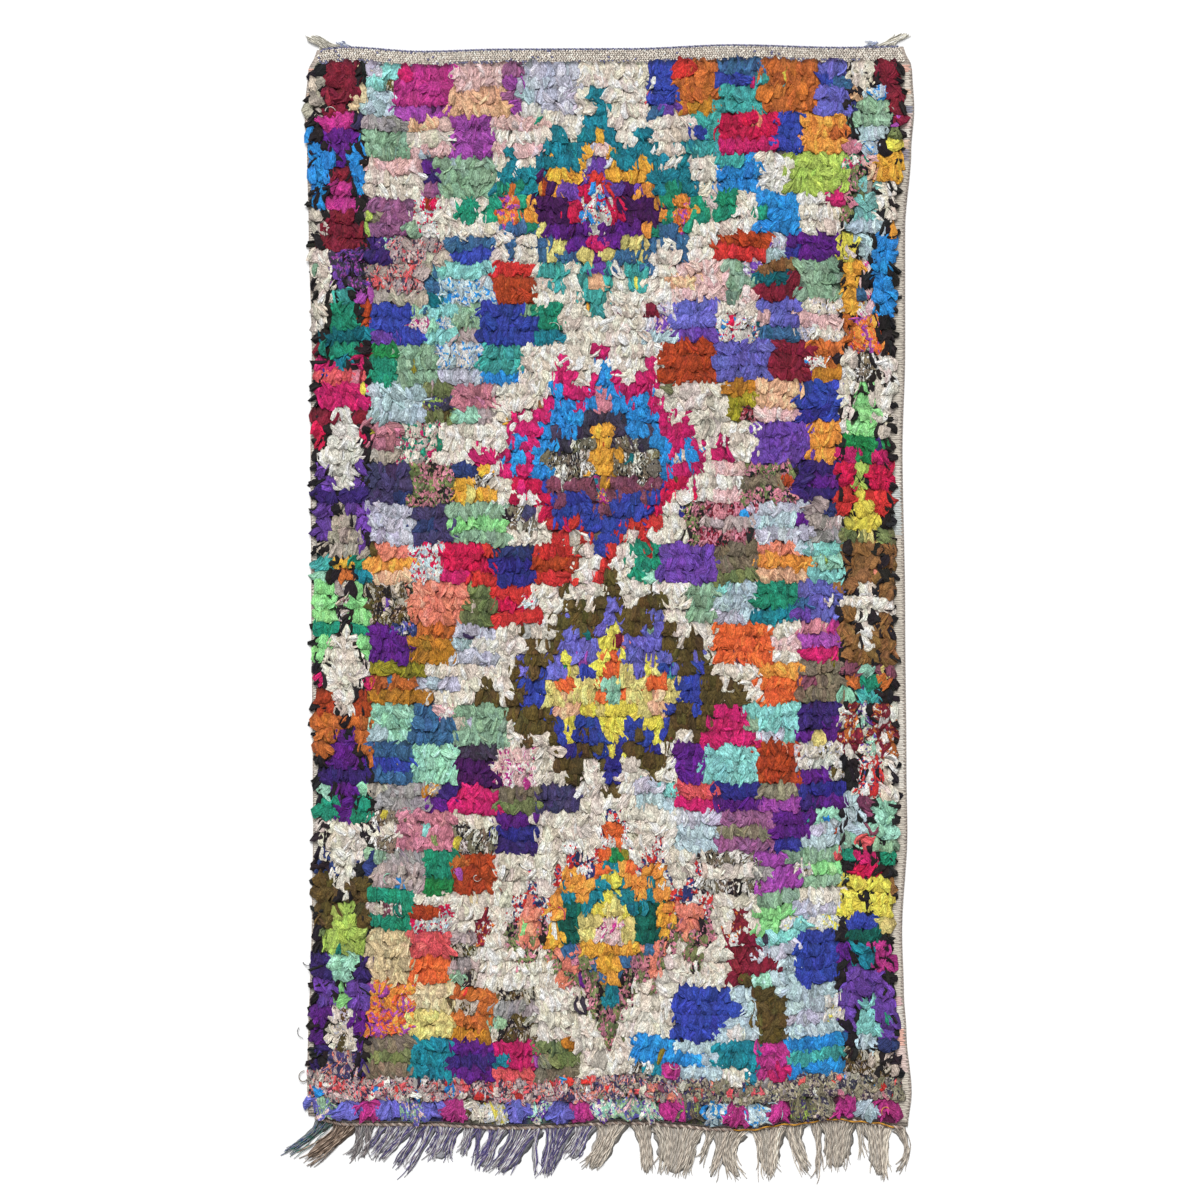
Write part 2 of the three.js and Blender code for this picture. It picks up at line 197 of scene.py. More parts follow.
# Four stepped diamonds down the middle: their middles in knots across and rows down, and the band of checks
# that each is in. A ring has a middle tooth and two pairs of teeth: how many rows they stand above the middle
# and below it, how many knots the ring reaches to each side, how steeply its teeth fall away, and its rags
# from top to foot, one or five. Small diamonds lie in pairs: rag, knots from the middle, rows above it, half
# width and half height.
MEDALLIONS = (
    {"column": 20.5, "row": 11.0, "band": 3, "rings": (
        ((8.9, 6.0, 4.0), (8.1, 5.9, 3.3), 7.8, 2.1, "teal teal emerald denim turquoise"),
        ((6.2, 3.4, 0.0), (5.8, 3.4, 0.0), 5.2, 2.1, "gold gold orange lemon peach"),
        ((5.1, 0.0, 0.0), (4.7, 0.0, 0.0), 0.9, 2.1, "blush lilac_grey violet violet violet"),
        ((3.4, 1.7, 0.0), (4.0, 1.7, 0.0), 4.3, 0.8, "violet violet aubergine purple violet"),
        ((2.8, 0.0, 0.0), (2.2, 0.0, 0.0), 1.8, 1.1, "red red crimson hot_pink flame"),
        ((1.4, 0.0, 0.0), (1.3, 0.0, 0.0), 1.2, 0.6, "white_sprig white_sprig white_sprig ivory ivory")),
     "pairs": (("flame_print", 6.2, -0.2, 1.0, 1.6), ("emerald", 9.3, 0.0, 0.9, 1.5))},
    {"column": 21.0, "row": 30.0, "band": 9, "rings": (
        ((8.5, 7.5, 3.5), (8.3, 6.2, 2.2), 7.7, 2.1, "hot_pink hot_pink hot_pink crimson red"),
        ((7.6, 5.4, 0.0), (7.2, 4.6, 0.0), 5.2, 2.1, "sky sky sky cobalt cobalt"),
        ((5.5, 2.1, 0.0), (4.0, 2.6, 0.0), 4.2, 1.4, "rose charcoal zebra plum plum"),
        ((2.6, 0.0, 0.0), (3.0, 0.0, 0.0), 1.1, 2.1, "lime gold gold multi orange")),
     "pairs": (("sky", 6.3, 0.6, 0.9, 1.5), ("hot_pink", 8.9, 0.6, 0.9, 1.3))},
    {"column": 21.5, "row": 46.9, "band": 15, "rings": (
        ((8.7, 7.4, 4.0), (8.1, 7.0, 3.8), 7.5, 2.1, "olive"),
        ((6.5, 5.2, 1.7), (6.4, 5.0, 1.4), 6.7, 2.1, "periwinkle periwinkle cobalt cobalt ink_blue"),
        ((4.4, 2.2, 0.0), (4.5, 3.3, 0.0), 5.0, 2.1, "lemon yellow lemon yellow yellow"),
        ((2.3, 0.0, 0.0), (0.9, 0.0, 0.0), 1.2, 2.1, "flame"),
        ((0.6, 0.0, 0.0), (0.6, 0.0, 0.0), 0.5, 2.1, "mint")),
     "pairs": (("flame", 3.2, 0.1, 0.9, 1.3), ("peach", 3.2, -1.4, 0.8, 1.0),
               ("olive", 9.0, -0.4, 0.9, 1.3))},
    {"column": 21.5, "row": 64.8, "band": 21, "rings": (
        ((8.9, 6.5, 4.0), (9.2, 5.0, 2.6), 7.3, 2.1, "confetti confetti dark_floral dark_floral dark_floral"),
        ((7.7, 4.8, 0.0), (6.2, 3.4, 0.0), 4.7, 2.1, "flame orange gold salmon salmon"),
        ((5.8, 3.0, 0.0), (5.8, 2.2, 0.0), 3.7, 2.1, "leaf teal bottle denim teal"),
        ((3.1, 0.0, 0.0), (4.0, 0.0, 0.0), 1.9, 1.3, "yellow yellow lemon gold lemon"),
        ((0.9, 0.0, 0.0), (0.9, 0.0, 0.0), 0.8, 2.1, "pink_marble")),
     "pairs": (("salmon", 5.7, 0.9, 1.1, 2.2), ("brick_print", 9.2, 0.0, 0.9, 1.4))},
)
RING_ZONES = (4.2, 1.3, -1.2, -4.2)  # rows above the middle at which a ring changes rag
ZONE_WAVE = (0.5, 2.1)  # the height of that line's waves in rows, and their angle for each knot
# The teeth's places in knots from the middle, how steeply they rise to their tips, the half width and height
# of the spike at a tip, and how high a ring is between its teeth.
TEETH = {"places": (0.0, 3.1, 6.25), "rise": 1.05, "spike": 0.28, "spike_rows": 0.8, "level": 0.9}

# The side borders from the top. For each figure: its height in rows, its core, what stands on the core's
# inner and outer side, and the core's half width in knots at its top and its foot.
BORDER_LEFT = (
    (3.9, "maroon", "tan", "stone", 1.2, 1.0), (1.3, "magenta", "slate", "black", 1.2, 1.4),
    (2.3, "purple", "sky", "sky", 1.5, 0.2), (1.8, "maroon", "sky", "sky", 0.3, 0.9),
    (2.0, "magenta", "sky", "sky", 0.7, 1.6), (2.3, "maroon", "lime", "cream", 1.1, 1.6),
    (3.4, "purple_heather", "purple_heather", "cream", 0.3, 0.6),
    (1.1, "turquoise", "orchid", "cream", 0.4, 0.9),
    (1.9, "emerald", "rust", "cream", 0.9, 1.3), (1.0, "dark_teal", "teal", "black", 1.2, 1.4),
    (1.1, "emerald", "maroon", "maroon", 1.6, 1.1), (1.2, "teal", "hot_pink", "hot_pink", 0.7, 0.2),
    (1.0, "watermelon", "watermelon", "watermelon", 1.9, 1.9),
    (1.1, "hot_pink", "hot_pink", "hot_pink", 1.8, 1.8),
    (1.0, "ivory", "maroon", "maroon", 0.1, 0.5), (3.7, "ivory", "crimson", "crimson", 0.6, 1.8),
    (2.0, "ivory", "violet", "violet", 1.2, 0.1), (1.0, "indigo", "indigo", "indigo", 0.1, 0.1),
    (3.5, "stone", "violet", "violet", 0.3, 1.4), (1.4, "gold", "emerald", "turquoise", 0.6, 0.5),
    (1.1, "burnt", "teal", "mint", 0.7, 0.5), (2.4, "grey_heather", "spring", "spring", 0.5, 0.1),
    (1.5, "cream", "emerald", "emerald", 0.1, 0.7), (3.3, "cream", "spring", "spring", 0.8, 1.8),
    (0.9, "cream", "hot_pink", "hot_pink", 1.2, 0.8), (1.8, "cream", "rust", "rust", 0.7, 0.3),
    (1.1, "burnt", "burnt", "burnt", 0.1, 0.1), (2.7, "purple", "burnt", "burnt", 0.5, 1.6),
    (0.9, "indigo", "indigo", "indigo", 1.9, 1.9), (1.2, "purple", "mint", "mint", 0.9, 0.8),
    (1.5, "purple", "emerald", "emerald", 0.7, 0.4), (0.8, "purple", "teal", "teal", 0.4, 0.1),
    (1.6, "cream", "black", "cream", 1.2, 1.5), (1.6, "cream", "navy", "navy", 1.5, 0.9),
    (2.7, "cream", "olive", "olive", 0.4, 0.1), (1.2, "lime", "olive", "olive", 0.4, 0.9),
    (2.0, "lime", "burnt", "khaki", 1.0, 1.6), (0.8, "spring", "burnt", "orange", 1.7, 1.5),
    (1.2, "mint", "indigo", "indigo", 0.9, 0.5), (2.7, "spring", "violet", "violet", 0.1, 0.4),
    (3.0, "cream_print", "purple", "purple", 0.5, 1.1), (1.7, "navy_heather", "indigo", "indigo", 1.0, 1.2),
)
BORDER_RIGHT = (
    (1.6, "black", "cream", "maroon", 0.1, 0.1), (1.8, "ice_sprig", "peach", "maroon", 0.7, 0.9),
    (1.2, "sage", "black", "maroon", 1.3, 1.6), (1.0, "ice", "black", "khaki", 0.9, 0.8),
    (1.9, "ice_sprig", "rose", "yellow", 0.8, 0.8), (0.9, "blush", "party", "gold", 0.4, 0.3),
    (1.2, "peach", "dark_floral", "gold", 0.3, 0.6), (3.0, "aqua", "dark_floral", "cream", 0.4, 1.2),
    (0.9, "ice", "black", "gold", 1.3, 1.5), (1.6, "ice", "yellow", "sky", 0.6, 0.3),
    (4.6, "pink_marble", "gold", "sky", 0.1, 0.3), (2.2, "flame_print", "burnt", "black", 0.8, 1.3),
    (2.4, "zebra", "cream", "cream", 0.4, 0.6), (3.6, "spring", "cream", "cream", 0.2, 1.1),
    (1.1, "leaf", "leaf", "black", 1.5, 1.7), (1.4, "leaf", "hot_pink", "hot_pink", 0.7, 0.3),
    (1.9, "lime", "crimson", "crimson", 0.3, 0.2), (2.2, "yellow", "red", "red", 0.3, 0.9),
    (1.2, "yellow", "cream", "black", 1.2, 1.3), (1.2, "lemon", "khaki", "khaki", 0.6, 0.3),
    (2.6, "brown", "brown", "brown", 1.0, 1.3), (1.5, "cream", "brown", "brown", 0.5, 0.6),
    (0.9, "cream", "cream", "cream", 1.8, 1.5), (2.3, "cream", "brown", "brown", 0.6, 0.3),
    (1.0, "brown", "brown", "brown", 0.5, 0.5), (1.0, "mint", "plum", "plum", 0.2, 0.4),
    (1.6, "emerald", "burnt", "burnt", 0.6, 0.8), (1.3, "turquoise", "mint", "black", 0.9, 1.0),
    (4.0, "green_floral", "brick_print", "brick_print", 0.4, 0.2),
    (2.6, "confetti", "black", "cream", 0.7, 0.9),
    (2.9, "plum", "ice", "mint", 0.3, 0.2), (1.0, "watermelon", "mint", "sage", 0.4, 0.6),
    (1.2, "hot_pink", "emerald", "emerald", 0.3, 0.8), (1.4, "crimson", "black", "black", 0.9, 1.1),
    (2.4, "black", "yellow", "yellow", 0.1, 0.2), (1.0, "cobalt", "yellow", "lemon", 0.9, 1.2),
    (1.3, "bottle", "black", "black", 1.3, 1.4), (2.2, "teal", "purple", "magenta", 0.4, 0.7),
    (1.7, "violet", "violet", "violet", 1.6, 1.6), (3.6, "aqua", "violet", "violet", 0.1, 1.2),
    (0.9, "ice", "black", "navy", 0.7, 0.5), (1.8, "tweed", "tweed", "stone", 1.0, 1.0),
)

# ---- the pile's courses ------------------------------------------------------------------------------------

# Blocks of courses: their rows and columns of knots, how far down the cloth they run, and how many courses
# long a rag is.
COURSES = {"rows": 76, "columns": 42, "from": TOP_BAND, "to": 2369, "reach": 1.27}
HEATHER = {"rows": 3, "columns": 50, "from": 2367, "to": 2417, "reach": 1.6}
CHUNKS = {"rows": 1, "columns": 54, "from": 2420, "to": 2466, "reach": 1.1}

# Which part of the pile a rag belongs to. The medallions are parts 0 to 3.
CHECKS, LEFT_BORDER, RIGHT_BORDER, HEATHER_BAND, CHUNK_BAND = -1, -2, -3, -4, -5

BORDER_COLUMNS = 4
BORDER_MIDDLE = 2.1  # knots from the border's outer edge to its figures' middle line
CORE_LINE = {"place": 0.12, "half": 0.17, "often": 0.8}  # dark rags round a figure's core, in knots
OUTER_LINE = {"width": 0.45, "often": 0.55}  # dark rags along the border's outer edge
INNER_LINE = {"width": 0.35, "often": 0.4}

BAND_ROWS = (4, 3, 3, 3, 2, 3, 3, 3, 3, 3, 3, 3, 3, 3, 3, 3, 3, 3, 2, 3, 3, 3, 4, 4, 3)
CHECK_CELLS = 11
EDGE_STEPS = (-1, 0, 0, 0, 0, 1)  # knots that a check's side may be off its place
GROUND_STEPS = 3  # checks this many steps or fewer from a medallion's own check are cream
APART = 0.5  # how different two cloths' colours are before they stand out from each other
KIN_LINES = 0.24
SCRAP_STARTS, SCRAP_ENDS = 0.15, 0.06  # share of its rows that start or end with a scrap
KIN_SCRAPS = 0.6
STRAY_RAGS = 0.008  # share of all rags that are of any colour at all

rng = np.random.default_rng(1964)


def ring_height(across, peaks, reach, fall):
    """How many rows a ring stands above its middle: the tallest of its pointed teeth, each rising slowly and
    falling steeply away from the middle with a thin spike at its tip, and of a low level part."""
    height = np.full(across.shape, TEETH["level"])
    for place, peak in zip(TEETH["places"], peaks):
        if peak:
            past = across - place
            tooth = peak - np.where(past < 0, -TEETH["rise"] * past, fall * past)
            height = np.maximum(height, tooth + TEETH["spike_rows"] * (np.abs(past) < TEETH["spike"]))
    return np.where(across < reach, height, -1.0)


def medallion_rags(rags, column, row):
    """Lays each medallion's rings from the outside in: a place is in a ring if it is no further above or
    below the middle than the ring stands there. Its small diamonds are laid last."""
    part = np.full(column.shape, CHECKS)
    wave_rows, wave_turn = ZONE_WAVE
    for n, figure in enumerate(MEDALLIONS):
        across = np.abs(column - figure["column"])
        up = figure["row"] - row
        zone = np.searchsorted(-np.array(RING_ZONES), -(up + wave_rows * np.sin(wave_turn * column + n)))
        for above, below, reach, fall, names in figure["rings"]:
            height = np.where(up > 0, *(ring_height(across, peaks, reach, fall) for peaks in (above, below)))
            inside = np.abs(up) < height
            rags = np.where(inside, np.resize(rag_ids(names), len(RING_ZONES) + 1)[zone], rags)
            part = np.where(inside, n, part)
        for name, place, rise, half_width, half_height in figure["pairs"]:
            inside = np.abs(across - place) / half_width + np.abs(up - rise) / half_height < 1
            rags = np.where(inside, RAG_ID[name], rags)
    return rags, part


def kin(rag, near=3):
    """One of the few rags nearest in colour."""
    away = np.abs(RAG_CLOTH[:len(COLOURS)] - RAG_CLOTH[rag]).sum(axis=1)
    return rng.choice(np.argsort(away)[1:near])


def unlike(rag, others):
    """Whether a rag's cloth stands out from each of the others'. A number below 0 is no rag at all."""
    away = [np.abs(RAG_CLOTH[rag] - RAG_CLOTH[other]).sum() for other in others if other >= 0]
    return min(away, default=2 * APART) > APART


def check_rags():
    """One rag for each knot of the field: blocks of knots, each in the next rag of its stretch's basket that
    stands out from the checks to its left and above it. A check is cream if it is within a few steps of a
    medallion's, steps along plus steps down. Some rows of a check are in a rag of nearly the same colour, and
    some start or end with a scrap."""
    columns = COURSES["columns"]
    chart = np.zeros((COURSES["rows"], columns), int)
    middle = CHECK_CELLS // 2
    above = np.full(CHECK_CELLS, -1)
    top = 0
    for band, deep in enumerate(BAND_ROWS):
        edges = np.round(np.linspace(0, columns - 2 * BORDER_COLUMNS, CHECK_CELLS + 1)).astype(int)
        edges[1:-1] += rng.choice(EDGE_STEPS, CHECK_CELLS - 1)
        basket = BASKETS[band * len(BASKETS) // len(BAND_ROWS)]
        decks = {side: rng.permutation(rag_ids(basket[side])) for side in ("left", "right")}
        beside = -1
        for cell in range(CHECK_CELLS):
            block = chart[top:top + deep, BORDER_COLUMNS + edges[cell]:BORDER_COLUMNS + edges[cell + 1]]
            steps = min(abs(cell - middle) + abs(band - figure["band"]) for figure in MEDALLIONS)
            if steps <= GROUND_STEPS:
                block[:] = RAG_ID["cream"]
                continue
            deck = np.roll(decks["left" if cell <= middle else "right"], -cell)
            beside = next((rag for rag in deck if unlike(rag, (above[cell], beside))), deck[0])
            block[:] = above[cell] = beside
            for line in block:
                if rng.random() < KIN_LINES:
                    line[:] = kin(beside)
                if rng.random() < SCRAP_STARTS:
                    share = rng.integers(1, 3)
                    line[:share] = kin(beside, 5) if rng.random() < KIN_SCRAPS else rng.choice(deck)
                if rng.random() < SCRAP_ENDS:
                    line[-1:] = rng.choice(deck)
        top += deep
    return chart


def border_rags(figures, across, row):
    """A chain of diamonds down the border: each figure's core widens or narrows evenly from its top to its
    foot, with a rag on either side of it and dark rags along its edge and along the border's outer edge.
    across is measured in knots from the border's outer edge."""
    heights = np.array([figure[0] for figure in figures], float)
    ends = np.cumsum(heights) * COURSES["rows"] / heights.sum()
    index = np.clip(np.searchsorted(ends, row, side="right"), 0, len(ends) - 1)
    starts = np.concatenate(([0.0], ends[:-1]))
    t = (row - starts[index]) / (ends[index] - starts[index])
    half = lerp(*(np.array([figure[k] for figure in figures])[index] for k in (4, 5)), t)
    past = across - BORDER_MIDDLE
    core, inner, outer = (np.array([RAG_ID[figure[k]] for figure in figures])[index] for k in (1, 2, 3))
    rags = np.where(np.abs(past) < half, core, np.where(past > 0, inner, outer))
    line = np.abs(np.abs(past) - half - CORE_LINE["place"]) < CORE_LINE["half"]
    rags = np.where(line & (rng.random(row.shape) < CORE_LINE["often"]), RAG_ID["black"], rags)
    inner_edge = np.where(across > BORDER_COLUMNS - INNER_LINE["width"], INNER_LINE["often"], 0.0)
    edge = np.where(across < OUTER_LINE["width"], OUTER_LINE["often"], inner_edge)
    return np.where(rng.random(row.shape) < edge, RAG_ID["black"], rags)


# ---- meshes ------------------------------------------------------------------------------------------------


def make_mesh(name, points, face_sets, material, colours=None, maps=None, smooth=True):
    """A piece from its points in millimetres and sets of faces with equal numbers of corners. colours are
    point attributes and maps are UV layers with one pair for each face corner."""
    mesh = bpy.data.meshes.new(name)
    points = (points.reshape(-1, 3) + SHIFT) * MM
    loops = np.concatenate([faces.ravel() for faces in face_sets]).astype(np.int32)
    sizes = np.concatenate([np.full(len(faces), faces.shape[1]) for faces in face_sets])
    mesh.vertices.add(len(points))
    mesh.loops.add(len(loops))
    mesh.polygons.add(len(sizes))
    mesh.vertices.foreach_set("co", points.astype(np.float32).ravel())
    mesh.loops.foreach_set("vertex_index", loops)
    mesh.polygons.foreach_set("loop_start", np.concatenate(([0], np.cumsum(sizes)[:-1])).astype(np.int32))
    mesh.polygons.foreach_set("use_smooth", np.full(len(sizes), smooth))
    mesh.update(calc_edges=True)
    for layer, pairs in (maps or {}).items():
        mesh.uv_layers.new(name=layer).data.foreach_set("uv", pairs.astype(np.float32).ravel())
    for layer, values in (colours or {}).items():
        values = np.column_stack([values.reshape(-1, 3), np.ones(len(points))]).astype(np.float32)
        mesh.attributes.new(layer, "FLOAT_COLOR", "POINT").data.foreach_set("color", values.ravel())
    mesh.validate()
    mesh.materials.append(material)
    piece = bpy.data.objects.new(name, mesh)
    bpy.context.scene.collection.objects.link(piece)
    return piece


def tube_faces(count, stations, ring):
    """Quads round count tubes of so many stations and ring points, with a flat end cap at each end. A tube
    faces outwards if its ring runs counter-clockwise, looking along it."""
    base = np.arange(count)[:, None, None] * stations * ring
    s = np.arange(stations - 1)[None, :, None] * ring
    r = np.arange(ring)[None, None, :]
    after = (r + 1) % ring
    quads = np.stack([base + s + r, base + s + ring + r, base + s + ring + after, base + s + after], -1)
    root_caps = base[:, 0] + np.arange(ring)
    tip_caps = root_caps[:, ::-1] + (stations - 1) * ring
    return quads.reshape(-1, 4), root_caps, tip_caps


# A tube's cell in the bake sheet, as shares of the cell: the corner and size of its sides, the middle and
# half size of its first cap, below them, and how much higher the other cap is.
SIDES_CORNER, SIDES_SIZE = (0.06, 0.2), (0.88, 0.6)
CAP_MIDDLE, CAP_REACH, CAP_RISE = (0.5, 0.09), (0.4, 0.05), 0.82


def tube_maps(count, stations, ring, ring_place, length_place):
    """Two maps for tubes. 'rag' runs round and along each tube in metres. 'OFBake' gives each tube its own
    cell of a square sheet."""
    s, r = np.meshgrid(np.arange(stations - 1), np.arange(ring), indexing="ij")
    corner_s = np.stack([s, s + 1, s + 1, s], -1)
    corner_r = np.stack([r, r, r + 1, r + 1], -1)
    places = np.stack([ring_place, length_place], -1)
    side = int(np.ceil(np.sqrt(count)))
    n = np.arange(count)[:, None, None, None]
    cell = np.stack([n % side, n // side], -1)
    sides = np.stack([corner_r / ring, corner_s / (stations - 1)], -1) * SIDES_SIZE + SIDES_CORNER
    turn = 2 * np.pi * np.arange(ring) / ring
    disc = np.stack([np.cos(turn), np.sin(turn)], -1) * CAP_REACH + CAP_MIDDLE
    sheet = [cell + sides]
    rag = [places[:, corner_s, corner_r % ring]]
    for station, rise, order in ((0, 0.0, slice(None)), (stations - 1, CAP_RISE, slice(None, None, -1))):
        sheet.append(cell[:, 0, 0] + (disc + (0, rise))[order])
        rag.append(places[:, station, order])
    rag, sheet = (np.concatenate([part.reshape(-1, 2) for part in parts]) for parts in (rag, sheet))
    return {"rag": rag * MM, "OFBake": sheet / side}


def linear(colour):
    """Display colour to linear light: ((c + 0.055) / 1.055)^2.4, or c / 12.92 near black."""
    colour = np.clip(np.asarray(colour, float), 0, 1)
    return np.where(colour > 0.04045, ((colour + 0.055) / 1.055) ** 2.4, colour / 12.92)


FOOT_MARGIN = 6  # how far inside its foot the pile starts to sink
SINK, SINK_REACH = 0.42, 26  # how steeply it sinks, and over what distance
LOWEST_PILE = 0.8


def settle(points):
    """Pile past its foot sinks towards the bare selvedge and then the floor, and nothing goes under it."""
    down = np.clip(end_edge("top", points[..., 0]) - points[..., 1], 0, CLOTH_LENGTH)
    past_left = side_edge("left", down) + LEFT_FOOT + FOOT_MARGIN - points[..., 0]
    past_right = points[..., 0] - side_edge("right", down) + RIGHT_FOOT + FOOT_MARGIN
    past = np.clip(np.maximum(past_left, past_right), 0, SINK_REACH)
    points[..., 2] = np.maximum(points[..., 2] - SINK * past, LOWEST_PILE)
    return points


# A rag from its start to its tip: it comes out from under the rag above and lies over the next one.
RAG_STATIONS = np.array([0.0, 0.3, 0.7, 1.0])
RAG_RISE = np.array([-5.0, -0.4, 1.0, -1.2])
RAG_WIDTH = np.array([0.62, 1.0, 1.12, 0.98])
# Painted shade along a rag: much darker at its start, tucked under the rag above, a little lighter where it
# stands highest and a little darker at its tip.
RAG_PAINTED_SHADE = np.array([0.58, 0.97, 1.02, 0.96])
# Round its section: rim, two folds, rim and keel. One fold is a ridge and the other a valley.
RAG_RING = np.array([-1.0, -0.34, 0.34, 1.0, 0.0])
RIDGE_HEIGHT, VALLEY_DEPTH, RIM_DEPTH, KEEL_DEPTH = (0.8, 3.4), (-0.4, 2.6), (-0.8, 2.4), 5.0
FOLD_SHIFT = 0.3  # how far the folds may be off their places, in half widths
CRUMPLE, TILT, WANDER = 0.8, 1.6, 0.7  # spread of each point's height, of the rims' and of each point's place
RISE_SHARE, WIDTH_SHARE = (0.6, 1.25), (0.72, 1.25)
RAGGED, RIM_RAGGED, BEND = 0.06, (-0.1, 0.05), 0.12  # how uneven the cut ends are and how bent, in lengths
CLOTH_PIECE = 900  # size of the cloth that a rag is torn from
RAGS_IN_KNOT = 5


def rag_ends(middle, turn, length, half, crest, draw):
    """Knotted rags, one tube each: a leaf with a ridge and a valley along its length between its two rims,
    and a keel below, cut ragged at both ends. middle is (n, 2), turn is the heading from straight down and
    half is the half width. Gives the points, their maps and each point's height over the leaf's own level."""
    n, stations, ring = len(middle), len(RAG_STATIONS), len(RAG_RING)
    every = (n, stations, ring)
    turn, length, half, crest = (value[:, None, None] for value in (turn, length, half, crest))
    s = RAG_STATIONS[None, :, None]
    keel = (np.arange(ring) == ring - 1)[None, None, :]
    rim = (np.abs(RAG_RING) == 1)[None, None, :]
    pleat = np.stack([draw.uniform(*RIDGE_HEIGHT, n), -draw.uniform(*VALLEY_DEPTH, n)], -1)
    fold = np.zeros((n, 1, ring))
    fold[:, 0, 1:3] = np.where(draw.random((n, 1)) < 0.5, pleat, pleat[:, ::-1])
    fold[:, 0, 0:4:3] = -draw.uniform(*RIM_DEPTH, (n, 2))
    u = RAG_RING + np.where(rim | keel, 0, draw.uniform(-FOLD_SHIFT, FOLD_SHIFT, (n, 1, 1)))
    fold = fold + draw.normal(0, CRUMPLE, every) + draw.normal(0, TILT, (n, 1, 1)) * u
    rise = RAG_RISE[None, :, None] * draw.uniform(*RISE_SHARE, (n, stations, 1)) + crest
    z = np.where(keel, rise - KEEL_DEPTH, rise + fold)
    ragged = draw.normal(0, RAGGED, every) + rim * draw.uniform(*RIM_RAGGED, every)
    forward = (s - 0.5 + ragged * np.abs(2 * s - 1)) * length
    bend = draw.normal(0, BEND, (n, 1, 1)) * (4 * s * (1 - s)) * length
    spread = RAG_WIDTH[None, :, None] * draw.uniform(*WIDTH_SHARE, (n, stations, 1))
    lateral = u * spread * half + bend + draw.normal(0, WANDER, every)
    x = middle[:, 0, None, None] + lateral * np.cos(turn) + forward * np.sin(turn)
    y = middle[:, 1, None, None] + lateral * np.sin(turn) - forward * np.cos(turn)
    maps = tube_maps(n, stations, ring, lateral + CLOTH_PIECE * draw.random((n, 1, 1)),
                     forward + CLOTH_PIECE * draw.random((n, 1, 1)))
    return settle(np.stack([x, y, z], -1)), maps, np.where(keel, 0.0, fold)


BACK_SHOWS, SECOND_SHOWS = 0.72, 0.88  # rags with a higher draw show an ink where their cloth would be
TINT = 0.012  # spread of each rag's own tint
INK_SHARE = (0.3, 1.5)


def rag_colours(rag, tone, draw):
    """The point colours of rags: tone is (rags, points of each) and carries each point's random tone and
    painted shade, and some rags show their cloth's back.
    """
    flip = draw.random((len(rag), 1)) * (RAG_PRINT[rag, :1] > 0)
    cloth, ink, second = RAG_CLOTH[rag], RAG_INK[rag], RAG_SECOND[rag]
    cloth, ink = np.where(flip > BACK_SHOWS, (ink, cloth), (cloth, ink))
    cloth, second = np.where(flip > SECOND_SHOWS, (second, cloth), (cloth, second))
    tint = draw.normal(0, TINT, (len(rag), 1, 3))
    colours = {key: linear(value[:, None] * tone[..., None] + tint)
               for key, value in (("cloth", cloth), ("ink", ink), ("second", second))}
    amount = RAG_PRINT[rag] * np.column_stack([draw.uniform(*INK_SHARE, len(rag)), np.ones(len(rag))])
    colours["print"] = np.repeat(np.column_stack([amount, draw.random(len(rag))]), tone.shape[1], axis=0)
    return colours


TONE_SPREAD = 0.06  # of whole rags
# Painted light and shade of the folds: a point's colour is made lighter for each millimetre it stands above the
# leaf's level and darker for each millimetre below it.
FOLD_PAINTED_SHADING, FOLD_LIMIT = 0.06, 3  # how much lighter a rag is for each millimetre of height, up to so many


def pile_piece(name, tufts, material):
    """Joins many rags into one piece, with painted shade in its point colours: darker at the ends, most at the
    start tucked under the rag above, and in the valleys of its folds, lighter on their ridges.
    """
    n = len(tufts["x"])
    draw = np.random.default_rng(n * 7 + len(name))
    middle = np.column_stack([tufts["x"], tufts["y"]])
    points, maps, folds = rag_ends(middle, *(tufts[key] for key in ("turn", "length", "half", "crest")), draw)
    tone = (1.0 + draw.normal(0, TONE_SPREAD, n) + tufts["tone"])[:, None, None]
    # Painted shade in the point colours: darker at the rag's start and in its folds' valleys, lighter on its
    # ridges.
    tone = tone * RAG_PAINTED_SHADE[None, :, None] * (1 + FOLD_PAINTED_SHADING * np.clip(folds, -FOLD_LIMIT, FOLD_LIMIT))
    colours = rag_colours(tufts["rag"], tone.reshape(n, -1), draw)
    return make_mesh(name, points, tube_faces(n, *points.shape[1:3]), material, colours, maps, smooth=False)


KNOT_DROP, KNOT_TURN, KNOT_LIFT = 2.4, 0.14, 0.7  # spread of whole knots
RAG_DROP, RAG_SHIFT, RAG_TURN = 2.6, 2.0, 0.36  # spread of single rags
COURSE_SHIFT = -0.08  # how far below the middle of its course a rag's middle lies, in courses
FAN, BORDER_FAN, CHUNK_FAN = (-0.2, 1.0), (0.2, 1.5), (0.6, 2.0)  # how far rags turn away from their knot
BORDER_GATHER, CHUNK_GATHER = 0.3, 0.5  # how far they are drawn together there
CHUNK_KNOTS = 2  # how many knots wide a chunk of the last course is
SPLAY, SPLAY_SHORTENS = 0.6, 0.25  # how far rags turn over a change of rag, and how much that shortens them
MEDALLION_CALM = 0.6  # the medallions' rags turn this share of what the others do
SPIKES, SPIKE_WIDTH = (0.4, 1.5), 0.6  # how far the dark rags at the sides turn outwards, and their width
DARK_WIDTH = 0.9  # the width of other dark rags
HALF_WIDTH, SIZES, LENGTH_SPREAD = 0.36, (0.62, 1.3), 0.11  # a rag's half width in knots and its range
CREST, CREST_SPREAD, CREST_RANGE, DARK_SINK = 15.2, 1.5, (12, 19), 0.4  # height of a rag's highest part
# Slow waves: the height of each, and its angle for each knot across and each course down.
COURSE_WAVES = ((2.56, 0.30, 0.05), (1.92, 0.83, 0.41))  # of the courses, in millimetres down
SIDE_WAVE = (1.8, 0.2, 0.7)  # of the rags, in millimetres across
TONE_WAVE, TONE_KNOTS = (0.04, 7.3, 12.9), 3  # of the tone, from one block of so many knots to the next


